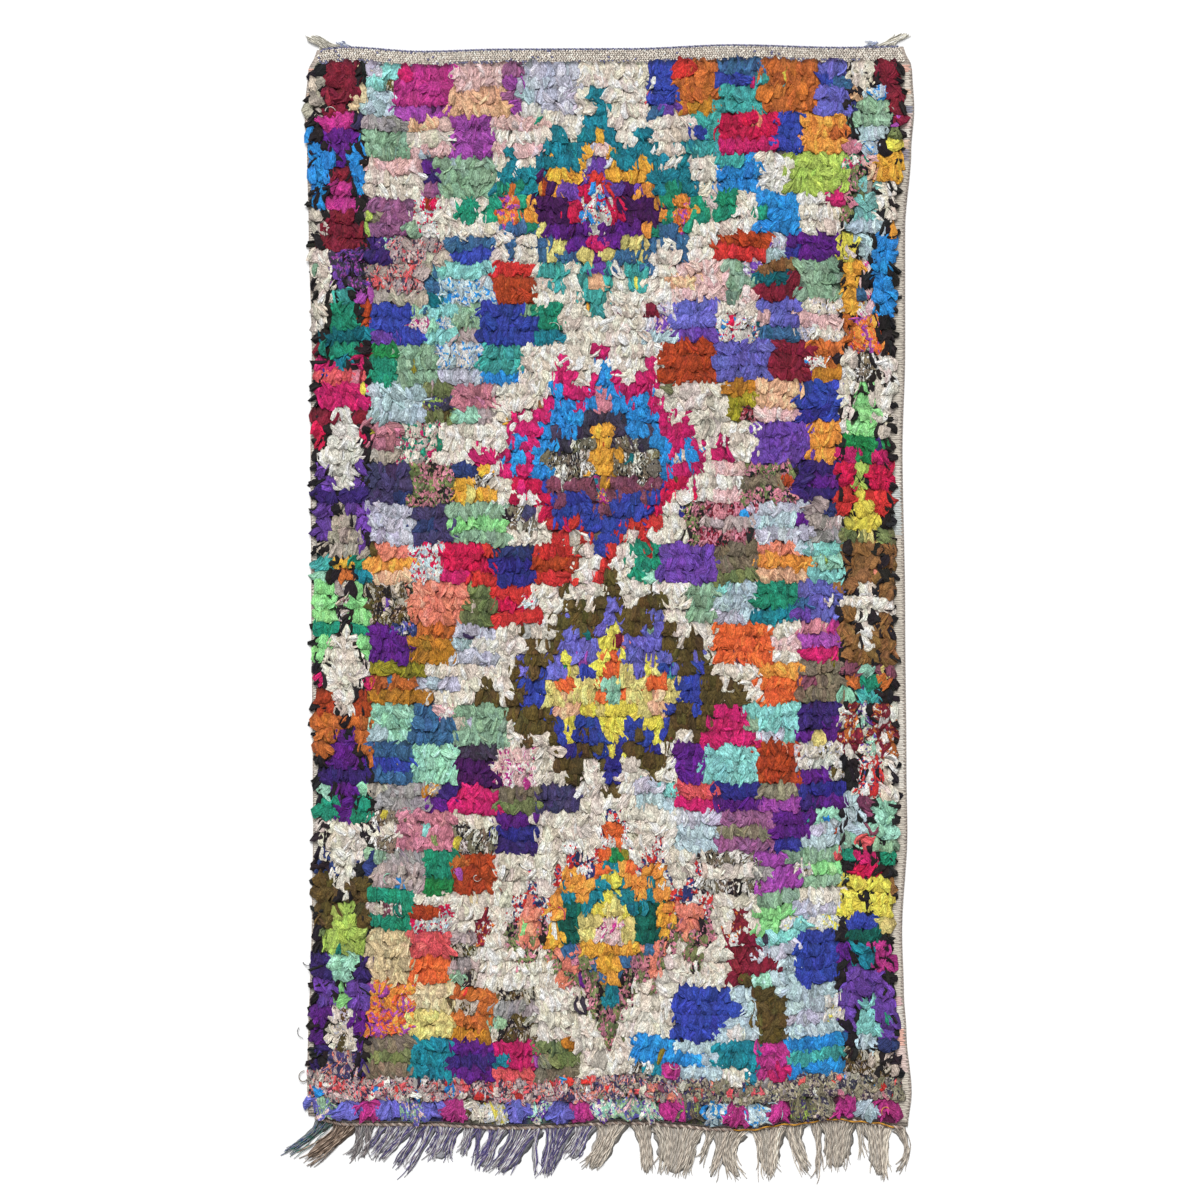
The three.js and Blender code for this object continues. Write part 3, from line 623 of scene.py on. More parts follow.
def course_tufts(course, charted):
    """Five rags for each knot of a block of courses, laid down the cloth side by side, each over the start of
    the next course's. charted gives the rag at (column, row) in knots. The rags of a knot fan out from it,
    more so in the borders, and rags at a change of rag splay over it."""
    rows, columns = course["rows"], course["columns"]
    column, row = np.meshgrid((np.arange(columns * RAGS_IN_KNOT) + 0.5) / RAGS_IN_KNOT, np.arange(rows) + 0.5)
    rag, part = charted(column, row)
    change = rag[:, 1:] != rag[:, :-1]
    to_left = np.pad(change, ((0, 0), (1, 0)), constant_values=False).ravel()
    to_right = np.pad(change, ((0, 0), (0, 1)), constant_values=True).ravel()
    column, row, rag, part = column.ravel(), row.ravel(), rag.ravel(), part.ravel()
    n = len(rag)
    border = (part == LEFT_BORDER) | (part == RIGHT_BORDER)
    chunk = part == CHUNK_BAND
    black = rag == RAG_ID["black"]
    calm = np.where(part >= 0, MEDALLION_CALM, 1.0)

    pitch = (course["to"] - course["from"]) / rows
    wave = sum(high * np.sin(across * column + along * row) for high, across, along in COURSE_WAVES)
    knot_drop, knot_turn, knot_lift = (np.repeat(rng.normal(0, spread, n // RAGS_IN_KNOT), RAGS_IN_KNOT)
                                       for spread in (KNOT_DROP, KNOT_TURN, KNOT_LIFT))
    down = course["from"] + (row + COURSE_SHIFT) * pitch + wave + knot_drop + rng.normal(0, RAG_DROP, n)
    down = np.maximum(down, TOP_BAND + 0.5 * pitch * course["reach"])
    left, right = side_edge("left", down) + LEFT_FOOT, side_edge("right", down) - RIGHT_FOOT
    width = (right - left) / columns

    in_knot = column - np.floor(column) - 0.5
    in_chunk = column / CHUNK_KNOTS - np.floor(column / CHUNK_KNOTS) - 0.5
    fan = in_knot * np.where(border, rng.uniform(*BORDER_FAN, n), rng.uniform(*FAN, n) * calm)
    fan = np.where(chunk, in_chunk * rng.uniform(*CHUNK_FAN, n), fan)
    place = np.where(border, column - BORDER_GATHER * in_knot, column)
    place = np.where(chunk, column - CHUNK_GATHER * in_chunk, place)
    splay = (to_right * 1.0 - to_left) * rng.uniform(0.0, SPLAY, n) * calm * rng.choice((-1, 1, 1), n)
    turn = fan + knot_turn + rng.normal(0, RAG_TURN, n) * calm + splay
    spiked = border & black & (np.abs(column - columns / 2) > columns / 2 - 0.5)
    turn = np.where(spiked, np.where(part == LEFT_BORDER, -1.0, 1.0) * rng.uniform(*SPIKES, n), turn)
    high, across, along = SIDE_WAVE
    x = left + place * width + high * np.sin(across * column + along * row) + rng.normal(0, RAG_SHIFT, n)
    thin = np.where(spiked, SPIKE_WIDTH, np.where(black, DARK_WIDTH, 1.0))
    half = width * HALF_WIDTH * rng.uniform(*SIZES, n) * thin
    length = pitch * course["reach"] * rng.normal(1.0, LENGTH_SPREAD, n)
    length = length * (1 - SPLAY_SHORTENS * np.abs(np.sin(splay)))
    crest = np.clip(rng.normal(CREST, CREST_SPREAD, n) + knot_lift, *CREST_RANGE) - DARK_SINK * black
    high, across, along = TONE_WAVE
    tone = high * np.sin(along * np.floor(row) + across * np.floor(column / TONE_KNOTS))
    return {"x": x, "y": cloth_y(x, down), "rag": rag, "part": part, "column": column, "row": row,
            "turn": turn, "length": length, "half": half, "crest": crest, "tone": tone}


def field(column, row):
    """The rag and the medallion, if any, at each place of the main courses. Checks change rag from knot to
    knot, medallions from half knot to half knot, and borders from rag to rag."""
    chart = check_rags()
    rags = chart[np.floor(row).astype(int), np.floor(column).astype(int)]
    halves = np.floor(column * 2) / 2 + 0.25
    rags, part = medallion_rags(rags, halves, row)
    columns = COURSES["columns"]
    left, right = column < BORDER_COLUMNS, column > columns - BORDER_COLUMNS
    rags = np.where(left, border_rags(BORDER_LEFT, column, row), rags)
    rags = np.where(right, border_rags(BORDER_RIGHT, columns - column, row), rags)
    part = np.where(left, LEFT_BORDER, np.where(right, RIGHT_BORDER, part))
    stray = rng.random(row.shape) < STRAY_RAGS
    return np.where(stray, rng.choice(len(COLOURS), row.shape), rags), part


HEATHER_CHANGES, HEATHER_BLUR = (0.42, 0.62), 0.09  # where the band changes rag, as shares of its width
HEATHER_SCRAPS = 0.2  # share of its rags
CHUNK_CHANGE = 0.56  # where the chunks change order, as a share of their row


def heather_rags(column, row):
    """Flecked rags, redder to the left and more olive to the right, with odd scraps among them."""
    share = column / HEATHER["columns"] + rng.normal(0, HEATHER_BLUR, row.shape)
    stretch = np.searchsorted(HEATHER_CHANGES, share, side="right")
    rags = rag_ids("red_heather navy_heather olive_heather")[stretch]
    scraps = rng.choice(rag_ids("watermelon red grey zebra rose plum sky cream"), row.shape)
    return np.where(rng.random(row.shape) < HEATHER_SCRAPS, scraps, rags), np.full(row.shape, HEATHER_BAND)


def chunk_rags(column, row):
    """The last course in chunks of two knots: violet-blue, pink and printed rags in turn."""
    chunk = np.floor(column / CHUNK_KNOTS).astype(int)
    early = rag_ids("chunk_floral periwinkle magenta periwinkle chunk_floral periwinkle magenta cream_print "
                    "pastel periwinkle green_floral periwinkle magenta green_floral")
    late = rag_ids("magenta green_floral magenta khaki_heather ice_sprig magenta ice_sprig magenta "
                   "khaki_heather olive_heather magenta ice magenta olive_heather")
    in_early = column < CHUNKS["columns"] * CHUNK_CHANGE
    rags = np.where(in_early, early[chunk % len(early)], late[chunk % len(late)])
    return rags, np.full(row.shape, CHUNK_BAND)


# ---- materials ---------------------------------------------------------------------------------------------


def add(tree, kind, values=None, **settings):
    """A node of a kind, with its own settings and the values or links of its inputs."""
    node = tree.nodes.new(kind)
    for key, value in settings.items():
        setattr(node, key, value)
    for key, value in (values or {}).items():
        if isinstance(value, bpy.types.NodeSocket):
            tree.links.new(value, node.inputs[key])
        else:
            node.inputs[key].default_value = value
    return node


def group(name, inputs, outputs):
    """An empty node group with its named sockets, and its input and output nodes."""
    tree = bpy.data.node_groups.new(name, "ShaderNodeTree")
    for kind, sockets in (("INPUT", inputs), ("OUTPUT", outputs)):
        for label, socket in sockets:
            tree.interface.new_socket(label, in_out=kind, socket_type="NodeSocket" + socket)
    return tree, tree.nodes.new("NodeGroupInput").outputs, tree.nodes.new("NodeGroupOutput").inputs


def noise(tree, vector, scale, detail=2.0, rough=0.5):
    """Noise of one scale, or of a scale of its own in each direction."""
    if isinstance(scale, tuple):
        vector, scale = stretched(tree, vector, scale), 1.0
    return add(tree, "ShaderNodeTexNoise", {"Vector": vector, "Scale": scale, "Detail": detail,
                                            "Roughness": rough}).outputs["Fac"]


def maths(tree, operation, *values, clamp=False):
    """One operation on numbers or links."""
    node = add(tree, "ShaderNodeMath", dict(enumerate(values)), operation=operation, use_clamp=clamp)
    return node.outputs[0]


def stretched(tree, vector, scale):
    """A vector times a scale in each direction."""
    return add(tree, "ShaderNodeMapping", {"Vector": vector, "Scale": scale}).outputs[0]


def mixed(tree, fac, a, b, blend="MIX"):
    """Mixes two colours; a Mix node keeps its colour sockets at 6 and 7 and their result at 2."""
    return add(tree, "ShaderNodeMix", {0: fac, 6: a, 7: b}, data_type="RGBA", blend_type=blend).outputs[2]


def remapped(tree, value, low, high, to_low=0.0, to_high=1.0):
    """A value between low and high, brought between two others."""
    return add(tree, "ShaderNodeMapRange", {"Value": value, "From Min": low, "From Max": high,
                                            "To Min": to_low, "To Max": to_high}).outputs[0]


def attribute(tree, name):
    """The outputs of a point colour."""
    return add(tree, "ShaderNodeAttribute", attribute_name=name).outputs


# Sizes of the cloths' patterns: how many to the metre, in all directions or across a rag and along it.
BLOTS, STREAKS, SECOND_BLOTS = 62.0, (330.0, 62.0, 1.0), (128.0, 96.0, 1.0)
FOLDS, FACETS, WEAVE, WORN = (190.0, 55.0, 1.0), (120.0, 62.0, 1.0), 1400.0, 24.0
INK_LEVEL, INK_FALL = 0.71, -0.42  # the level that noise is cut at, and how it falls with the amount of ink
INK_EDGE = 26.0
FACET_HEIGHT, FOLD_HEIGHT, WEAVE_HEIGHT, CREASE_DEPTH = -0.55, 2.2, 0.05, 4.0
PLY_DEPTH, RIB_DEPTH = 0.5, 1.2


def printed_cloth_group():
    """Cloth colour with two inks: blots or stripes of noise, cut at a level that the amount sets."""
    inputs = [("Vector", "Vector"), ("Cloth", "Color"), ("Ink", "Color"), ("Second", "Color"),
              ("Amount", "Float"), ("Stripe", "Float")]
    tree, given, out = group("printed cloth", inputs, [("Color", "Color")])
    vector, amount = given["Vector"], given["Amount"]
    blots, streaks, other = (noise(tree, vector, scale, detail) for scale, detail in (
        (BLOTS, 2.5), (STREAKS, 1.0), (SECOND_BLOTS, 1.0)))
    pattern = add(tree, "ShaderNodeMix", {0: given["Stripe"], 2: blots, 3: streaks}).outputs[0]
    level = maths(tree, "MULTIPLY_ADD", amount, INK_FALL, INK_LEVEL)
    used = maths(tree, "GREATER_THAN", amount, 0.01)
    colour = given["Cloth"]
    for shape, ink in ((pattern, "Ink"), (other, "Second")):
        cover = maths(tree, "MULTIPLY", maths(tree, "SUBTRACT", shape, level), INK_EDGE, clamp=True)
        colour = mixed(tree, maths(tree, "MULTIPLY", cover, used), colour, given[ink])
    tree.links.new(colour, out["Color"])
    return tree


def creased_cloth_group():
    """Creases that run along the rag, flat crumpled facets between them and a fine weave: a height for the bump
    and a painted shade for the colour, darker in the creases and along the facets' edges. Facets are the cells
    of scattered points, highest at the points."""
    outputs = [("Height", "Float"), ("Shade", "Float")]
    tree, given, out = group("creased cloth", [("Vector", "Vector")], outputs)
    vector = given["Vector"]
    sharp = maths(tree, "ABSOLUTE", maths(tree, "SUBTRACT", noise(tree, vector, FOLDS, 2.0, 0.6), 0.5))
    facets = {"Vector": stretched(tree, vector, FACETS), "Scale": 1.0}
    near = add(tree, "ShaderNodeTexVoronoi", facets).outputs["Distance"]
    edge = add(tree, "ShaderNodeTexVoronoi", facets, feature="DISTANCE_TO_EDGE").outputs["Distance"]
    height = maths(tree, "MULTIPLY_ADD", near, FACET_HEIGHT, maths(tree, "MULTIPLY", sharp, FOLD_HEIGHT))
    weave = noise(tree, vector, WEAVE, 1.0)
    tree.links.new(maths(tree, "MULTIPLY_ADD", weave, WEAVE_HEIGHT, height), out["Height"])
    # Painted shade: dark lines in the creases and along the facets' edges.
    fold_painted_shade = remapped(tree, sharp, 0.0, 0.05, 0.5, 1.0)
    facet_edge_painted_shade = remapped(tree, edge, 0.0, 0.09, 0.66, 1.0)
    tree.links.new(maths(tree, "MULTIPLY", fold_painted_shade, facet_edge_painted_shade), out["Shade"])
    return tree


def new_material(name, roughness, sheen=0.0):
    """A material, its tree and its shader."""
    material = bpy.data.materials.new(name)
    material.use_nodes = True
    tree = material.node_tree
    shader = tree.nodes["Principled BSDF"]
    shader.inputs["Roughness"].default_value = roughness
    shader.inputs["Sheen Weight"].default_value = sheen
    shader.inputs["Specular IOR Level"].default_value = 0.25
    return material, tree, shader


def dress(tree, shader, colour, shade, height, depth):
    """Gives a shader its colour, darkened by a shade if there is one, and its bumps, with their depth in
    millimetres."""
    if shade is not None:
        grey = add(tree, "ShaderNodeCombineColor", {0: shade, 1: shade, 2: shade}).outputs[0]
        colour = mixed(tree, 1.0, colour, grey, "MULTIPLY")
    bump = add(tree, "ShaderNodeBump", {"Height": height, "Distance": depth * MM, "Strength": 1.0})
    tree.links.new(colour, shader.inputs["Base Color"])
    tree.links.new(bump.outputs[0], shader.inputs["Normal"])


def rag_material(printed, creased):
    """Torn cotton and wool cloth, printed or plain, in its own point colours."""
    material, tree, shader = new_material("rag cloth", 0.84, 0.03)
    vector = add(tree, "ShaderNodeUVMap", uv_map="rag").outputs[0]
    style = add(tree, "ShaderNodeSeparateXYZ", {0: attribute(tree, "print")["Vector"]}).outputs
    colours = {label: attribute(tree, label.lower())["Color"] for label in ("Cloth", "Ink", "Second")}
    given = {"Vector": vector, **colours, "Amount": style[0], "Stripe": style[1]}
    cloth = add(tree, "ShaderNodeGroup", given, node_tree=printed)
    creases = add(tree, "ShaderNodeGroup", {"Vector": vector}, node_tree=creased).outputs
    worn = remapped(tree, noise(tree, vector, WORN), 0.3, 0.7, 0.9, 1.04)
    # The creases' painted shade, times the cloth's random wear.
    shade = maths(tree, "MULTIPLY", creases["Shade"], worn)
    dress(tree, shader, cloth.outputs[0], shade, creases["Height"], CREASE_DEPTH)
    return material


def ground_material():
    """Plain weave in cream with grey flecks: weft ribs across the cloth, broken by the warps, and painted shade
    in the hollows between the ribs.
    """
    material, tree, shader = new_material("ground weave", 0.9)
    pale, grey, dark = ((*linear(colour), 1) for colour in ((0.74, 0.69, 0.64), (0.56, 0.52, 0.50),
                                                            (0.42, 0.39, 0.36)))
    place = add(tree, "ShaderNodeTexCoord").outputs["Object"]
    ribs = add(tree, "ShaderNodeTexWave", {"Vector": place, "Scale": 42.0, "Distortion": 1.2, "Detail": 1.0,
                                           "Detail Scale": 3.0}, bands_direction="Y").outputs["Fac"]
    warps = add(tree, "ShaderNodeTexWave", {"Vector": place, "Scale": 55.0, "Distortion": 0.6}).outputs["Fac"]
    fleck = noise(tree, place, (90.0, 420.0, 1.0))
    bare = mixed(tree, remapped(tree, fleck, 0.45, 0.62), pale, grey)
    # The hollows between the weft ribs are mixed towards the dark grey: painted shade.
    colour = mixed(tree, remapped(tree, ribs, 0.0, 0.35, 0.3, 0.0), bare, dark)
    height = maths(tree, "MULTIPLY", ribs, maths(tree, "MULTIPLY_ADD", warps, 0.4, 0.5))
    dress(tree, shader, colour, None, height, RIB_DEPTH)
    return material


def yarn_material(name, roughness, fibre):
    """Spun yarn in its own point colours: plies slant round it and fine fibres run along it."""
    material, tree, shader = new_material(name, roughness, 0.2)
    vector = add(tree, "ShaderNodeUVMap", uv_map="rag").outputs[0]
    slanted = stretched(tree, vector, (1.0, 0.4, 1.0))
    plies = add(tree, "ShaderNodeTexWave", {"Vector": slanted, "Scale": 70.0, "Distortion": 1.6,
                                            "Detail": 1.0}, bands_direction="DIAGONAL").outputs["Fac"]
    fibres = noise(tree, vector, (fibre, fibre / 6, 1.0))
    cloth, ink = (attribute(tree, key)["Color"] for key in ("cloth", "ink"))
    colour = mixed(tree, remapped(tree, plies, 0.35, 0.65), cloth, ink)
    shade = remapped(tree, fibres, 0.3, 0.7, 0.78, 1.1)
    dress(tree, shader, colour, shade, maths(tree, "ADD", plies, fibres), PLY_DEPTH)
    return material


# ---- ground, band, selvedges -------------------------------------------------------------------------------


def slab_faces(rows, columns):
    """The faces of a closed sheet of two equal grids of points, upper then lower, joined by a wall."""
    at = np.arange(rows * columns).reshape(rows, columns)
    quads = np.stack([at[:-1, :-1], at[1:, :-1], at[1:, 1:], at[:-1, 1:]], -1).reshape(-1, 4)
    rim = np.concatenate([at[:-1, 0], at[-1, :-1], at[:0:-1, -1], at[0, :0:-1]])
    after = np.roll(rim, -1)
    total = rows * columns
    return quads, quads[:, ::-1] + total, np.stack([rim, rim + total, after + total, after], -1)


def ground_cloth(material):
    """A closed sheet over the cloth's outline: a grid of places across and down, its upper face a little
    uneven, its underside flat on the floor and its rim joined by a wall."""
    rows, columns, underside = 130, 44, 0.3
    down = np.linspace(0, CLOTH_LENGTH, rows)[:, None]
    x = lerp(side_edge("left", down), side_edge("right", down), np.linspace(0, 1, columns))
    y = cloth_y(x, down)
    level = CLOTH_THICKNESS - 0.8 + 0.35 * np.sin(x / 31) * np.cos(y / 23)
    points = np.stack([np.stack([x, y, z], -1) for z in (level, np.full(x.shape, underside))])
    return make_mesh("ground_cloth", points, slab_faces(rows, columns), material)


# The bed's rag colours are darkened to half: painted shade under the pile.
BED_LEVEL, BED_LUMPS, BED_PAINTED_SHADE = 11.0, 1.0, 0.5
BED_INSET, BED_DOWN = 5, 4  # how far inside the pile's foot it ends, and below the middles of its courses
BED_SHEET = (0.47, 0.94)  # size of each of its two faces in the bake sheet


def rag_bed(name, course, tufts, material):
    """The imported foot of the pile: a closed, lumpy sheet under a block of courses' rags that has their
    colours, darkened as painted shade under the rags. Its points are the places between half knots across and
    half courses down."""
    rows, columns = course["rows"] * 2, course["columns"] * 2
    rag = tufts["rag"].reshape(course["rows"], course["columns"], RAGS_IN_KNOT)[:, :, 1:4:2]
    rag = rag.reshape(course["rows"], columns).repeat(2, axis=0)
    down = np.linspace(course["from"] + BED_DOWN, course["to"] + BED_DOWN, rows)[:, None]
    left = side_edge("left", down) + LEFT_FOOT + BED_INSET
    right = side_edge("right", down) - RIGHT_FOOT - BED_INSET
    x = lerp(left, right, np.linspace(0, 1, columns))
    y = cloth_y(x, down)
    draw = np.random.default_rng(8)
    top = settle(np.stack([x, y, BED_LEVEL + draw.normal(0, BED_LUMPS, x.shape)], -1))
    under = np.stack([x, y, np.minimum(CLOTH_THICKNESS - 0.3, top[..., 2] - 0.4)], -1)
    points = np.stack([top, under]).reshape(-1, 3)
    # Painted shade: the bed takes its rags' colours at half their brightness.
    colours = rag_colours(np.tile(rag.ravel(), 2), np.full((len(points), 1), BED_PAINTED_SHADE), draw)
    faces = slab_faces(rows, columns)
    places = np.stack(np.meshgrid(np.linspace(0, 1, columns), np.linspace(0, 1, rows)), -1) * BED_SHEET
    places = np.stack([places, places + (0.5, 0)]).reshape(-1, 2)
    strip = np.linspace(0, 1, len(faces[2]) + 1)
    wall = np.stack([strip[:-1], strip[:-1], strip[1:], strip[1:]], -1)
    wall = np.stack([wall, np.broadcast_to([1.0, 0.97, 0.97, 1.0], wall.shape)], -1)
    upper, lower = (places[part.ravel()] for part in faces[:2])
    maps = {"rag": points[np.concatenate([part.ravel() for part in faces]), :2] * MM,
            "OFBake": np.concatenate([upper, lower, wall.reshape(-1, 2)])}
    return make_mesh(name, points, faces, material, colours, maps, smooth=False)


SWELL = 0.22  # how much the plies stand out from a yarn, as a share of its radius
GIRTH, SKEIN = 14.0, 300  # how far round and along its fibre pattern a yarn reaches
LOWEST_YARN = 0.15


def tube_piece(name, centre, radius, cloth, ink, material, squash=1.0, twist=0.0, plies=2, ring=6):
    """Yarns along paths: (n, stations, 3) centres with a round section whose radius swells plies times round
    and turns with the distance along, so that the plies wind round it. squash flattens it."""
    n, stations = centre.shape[:2]
    ahead = np.gradient(centre, axis=1)
    ahead /= np.linalg.norm(ahead, axis=-1, keepdims=True)
    side = np.stack([ahead[..., 1], -ahead[..., 0], np.zeros((n, stations))], -1)
    side /= np.linalg.norm(side, axis=-1, keepdims=True)
    lift = np.cross(side, ahead)
    step = np.linalg.norm(np.diff(centre, axis=1), axis=-1)
    run = np.pad(np.cumsum(step, axis=1), ((0, 0), (1, 0)))[..., None]
    angle = 2 * np.pi * np.arange(ring) / ring
    swell = 1 + SWELL * np.cos(plies * (angle - twist * run))
    reach = np.broadcast_to(radius, (n, stations))[..., None] * swell
    offset = np.cos(angle)[:, None] * side[:, :, None] + squash * np.sin(angle)[:, None] * lift[:, :, None]
    points = centre[:, :, None] + reach[..., None] * offset
    points[..., 2] = np.maximum(points[..., 2], LOWEST_YARN)
    around = np.arange(ring) / ring * GIRTH + SKEIN * rng.random((n, 1, 1))
    maps = tube_maps(n, stations, ring, *(np.broadcast_to(place, reach.shape) for place in (around, run)))
    colours = {key: np.repeat(linear(value), stations * ring, axis=0)
               for key, value in (("cloth", cloth), ("ink", ink))}
    return make_mesh(name, points, tube_faces(n, stations, ring), material, colours, maps)


def top_band(material):
    """Countered twining: rows of slanted stitches whose slant changes from row to row, each a short fat yarn
    that rises and dips. The last two rows are grey in places."""
    rows, row_step, first_row, pitch, inset = 7, 4.9, 4.0, 5.6, 6
    reach, slope, rise, thickness = 2.9, 2.8, 1.6, 1.75
    row, x = np.meshgrid(np.arange(rows), np.arange(-664, 684, pitch), indexing="ij")
    row, x = row.ravel(), x.ravel() + rng.normal(0, 0.6, x.size)
    down = first_row + row * row_step
    inside = (x > side_edge("left", down) + inset) & (x < side_edge("right", down) - inset)
    row, x, down = row[inside, None], x[inside, None], down[inside, None]
    t = np.linspace(-1, 1, 4)
    slant = np.where(row % 2 == 0, 1, -1)
    y = cloth_y(x, down) + t * slant * slope + rng.normal(0, 0.3, x.shape)
    z = CLOTH_THICKNESS - 0.4 + rise * (1 - t * t) + 0 * x
    grey = rng.random(x.shape) < np.where((row >= rows - 2) & (np.sin(x / 60) > -0.3), 0.5, 0.02)
    tone = rng.normal(1, 0.07, x.shape)
    cloth = np.where(grey, (0.52, 0.52, 0.66), np.array((0.95, 0.92, 0.87)) * tone)
    ink = np.where(grey, (0.44, 0.44, 0.58), np.array((0.86, 0.81, 0.76)) * tone)
    radius = thickness * (1 - 0.45 * np.abs(t) ** 2.5)
    return tube_piece("top_band_twining", np.stack([x + t * reach, y, z], -1), radius, cloth, ink, material,
                      squash=0.8, ring=5)


CORD_LEVEL = 4.2


def wound(x, y, wind, across, up):
    """Two strands that wind round each other along a line."""
    return np.array([np.stack([x, y + across * np.cos(wind + ply), CORD_LEVEL + up * np.sin(wind + ply)], -1)
                     for ply in (0, np.pi)])


def top_cord(material):
    """The thin two-ply cord along the top edge."""
    x = np.linspace(-655, 668, 620)
    strands = wound(x, end_edge("top", x) - 0.8, 0.5 * x, 2.0, 1.2)
    cloth = np.array([(0.46, 0.46, 0.62), (0.66, 0.66, 0.72)])
    return tube_piece("top_edge_cord", strands, 1.7, cloth, cloth * 0.7, material, ring=5)


# The selvedges' weft: how far down each of its colours runs.
SELVEDGE_BANDS = (
    (42, "periwinkle"), (58, "salmon"), (96, "cream_print"), (112, "peach"), (136, "ivory"), (152, "navy"),
    (186, "blush"), (212, "ivory"), (234, "peach"), (262, "slate"), (960, "stone"), (1010, "ivory"),
    (1120, "ice"), (1500, "stone"), (1700, "ivory"), (2180, "stone"), (2200, "rose"), (2250, "ivory"),
    (2290, "salmon"), (2350, "blush"), (2475, "stone"),
)
SELVEDGE_WRAP = 262  # the left edge is wrapped in coloured yarns this far down
SELVEDGE_CREAM = (0.87, 0.84, 0.79)
SELVEDGE_TINT = 0.45  # how much of a colour shows


def selvedge(side, material):
    """The bare side of the ground: weft turned round the outer warps, one rounded rib for each turn."""
    first, last, pitch, overhang, thickness = 44, 2462, 4.3, 1.2, 2.35
    inner = {"left": LEFT_FOOT, "right": RIGHT_FOOT}[side] + 8
    outward = {"left": -1, "right": 1}[side]
    down = np.arange(first, last, pitch)[:, None]
    turn = np.arange(len(down))[:, None]
    t = np.linspace(0, 1, 6)
    edge = side_edge(side, down) + rng.normal(0, 0.5, down.shape)
    x = edge - outward * (inner - t * (inner - overhang))
    y = cloth_y(x, down) + rng.normal(0, 0.3, down.shape)
    z = CLOTH_THICKNESS - 1.0 + 0.35 * np.sin(np.pi * (3 * t + turn)) - 1.4 * t ** 4
    ends, names = zip(*SELVEDGE_BANDS)
    band = rag_ids(" ".join(names))[np.searchsorted(ends, down[:, 0])]
    tint = np.where((side == "right") | (down < SELVEDGE_WRAP), SELVEDGE_TINT, 0.0)
    cloth = lerp(np.array(SELVEDGE_CREAM), RAG_CLOTH[band], tint) * rng.normal(1, 0.02, down.shape)
    return tube_piece("selvedge_" + side, np.stack([x, y, z], -1), thickness, cloth, cloth * 0.93, material,
                      squash=0.7, ring=5)


# ---- fringe and tassels ------------------------------------------------------------------------------------

# The clumps of warp ends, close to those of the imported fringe: from where to where their roots reach, where
# their tips are and how wide, their length, their bow, their share of the yarns, and their yarn.
CLUMPS = (
    (-662, -640, -736, 14, 84, 12, 9, "green"), (-622, -586, -690, 33, 98, 10, 10, "brown"),
    (-578, -562, -588, 12, 90, 12, 7, "grey"), (-556, -546, -560, 6, 84, 6, 4, "grey"),
    (-518, -508, -550, 8, 62, 0, 3, "navy"), (-496, -480, -536, 12, 84, 0, 8, "navy"),
    (-472, -446, -520, 20, 86, 0, 12, "navy"),
    (-440, -422, -482, 12, 102, 0, 7, "navy"), (-416, -402, -462, 10, 124, 6, 5, "navy"),
    (-392, -340, -390, 54, 84, 0, 26, "navy"), (-324, -302, -336, 22, 70, 0, 10, "navy"),
    (-298, -290, -304, 10, 90, 0, 4, "navy"), (-264, -238, -290, 26, 98, 0, 14, "navy"),
    (-220, -158, -248, 50, 108, 0, 26, "navy"), (-168, -160, -166, 4, 118, -6, 3, "navy"),
    (-136, -78, -142, 30, 116, 0, 22, "navy"), (-68, -32, -82, 36, 82, 0, 17, "navy"),
    (-20, 34, -38, 42, 110, 8, 20, "beige"), (62, 92, 92, 24, 124, 8, 13, "beige"),
    (102, 214, 150, 66, 118, 8, 36, "beige"), (232, 244, 212, 10, 88, 0, 5, "beige"),
    (252, 270, 238, 14, 120, 6, 8, "beige"), (282, 318, 300, 28, 116, -34, 14, "beige"),
    (338, 404, 372, 36, 120, 0, 22, "beige"), (414, 446, 462, 22, 122, -10, 12, "beige"),
    (476, 486, 482, 6, 142, 6, 5, "beige"), (494, 570, 528, 52, 118, 0, 28, "beige"),
    (578, 582, 582, 4, 98, 0, 2, "beige"), (594, 646, 626, 34, 126, 0, 20, "beige"),
    (664, 672, 672, 8, 108, 32, 5, "beige"),
)
TASSEL_CLUMPS = (
    (-652, -624, -680, 22, 30, -4, 17, "pale"), (-612, -596, -610, 12, 13, 0, 9, "blue"),
)
# The plies of a yarn's two kinds, then the felted fibres under them.
YARNS = {
    "green": ((0.12, 0.40, 0.34), (0.52, 0.54, 0.54), (0.16, 0.28, 0.50), (0.56, 0.56, 0.58),
              (0.44, 0.46, 0.46)),
    "brown": ((0.62, 0.53, 0.46), (0.34, 0.27, 0.22), (0.72, 0.64, 0.57), (0.44, 0.36, 0.30),
              (0.54, 0.46, 0.40)),
    "grey": ((0.68, 0.66, 0.65), (0.46, 0.46, 0.47), (0.62, 0.58, 0.57), (0.42, 0.38, 0.40),
             (0.62, 0.60, 0.59)),
    "navy": ((0.80, 0.80, 0.80), (0.64, 0.60, 0.62), (0.45, 0.40, 0.52), (0.26, 0.24, 0.48),
             (0.60, 0.60, 0.62)),
    "beige": ((0.88, 0.84, 0.78), (0.70, 0.66, 0.60), (0.82, 0.77, 0.71), (0.62, 0.57, 0.52),
              (0.74, 0.71, 0.67)),
    "pale": ((0.88, 0.86, 0.80), (0.72, 0.70, 0.64), (0.84, 0.82, 0.77), (0.68, 0.66, 0.61),
             (0.76, 0.74, 0.69)),
    "blue": ((0.72, 0.75, 0.80), (0.42, 0.45, 0.62), (0.76, 0.78, 0.80), (0.55, 0.58, 0.66),
             (0.60, 0.63, 0.70)),
}
ROOT_SPREAD = 11  # how far past its clump a yarn may start
YARNS_EACH = 1.55  # yarns for each one of a clump's share
PINCH = 0.35  # how far along a clump is drawn together
YARN_CRIMP, YARN_WAVES, YARN_DRIFT, YARN_RADIUS = (0.5, 2.3), (6, 17), 5.0, (0.85, 1.5)
YARN_LENGTH = (0.7, 1.03)  # as a share of its clump's
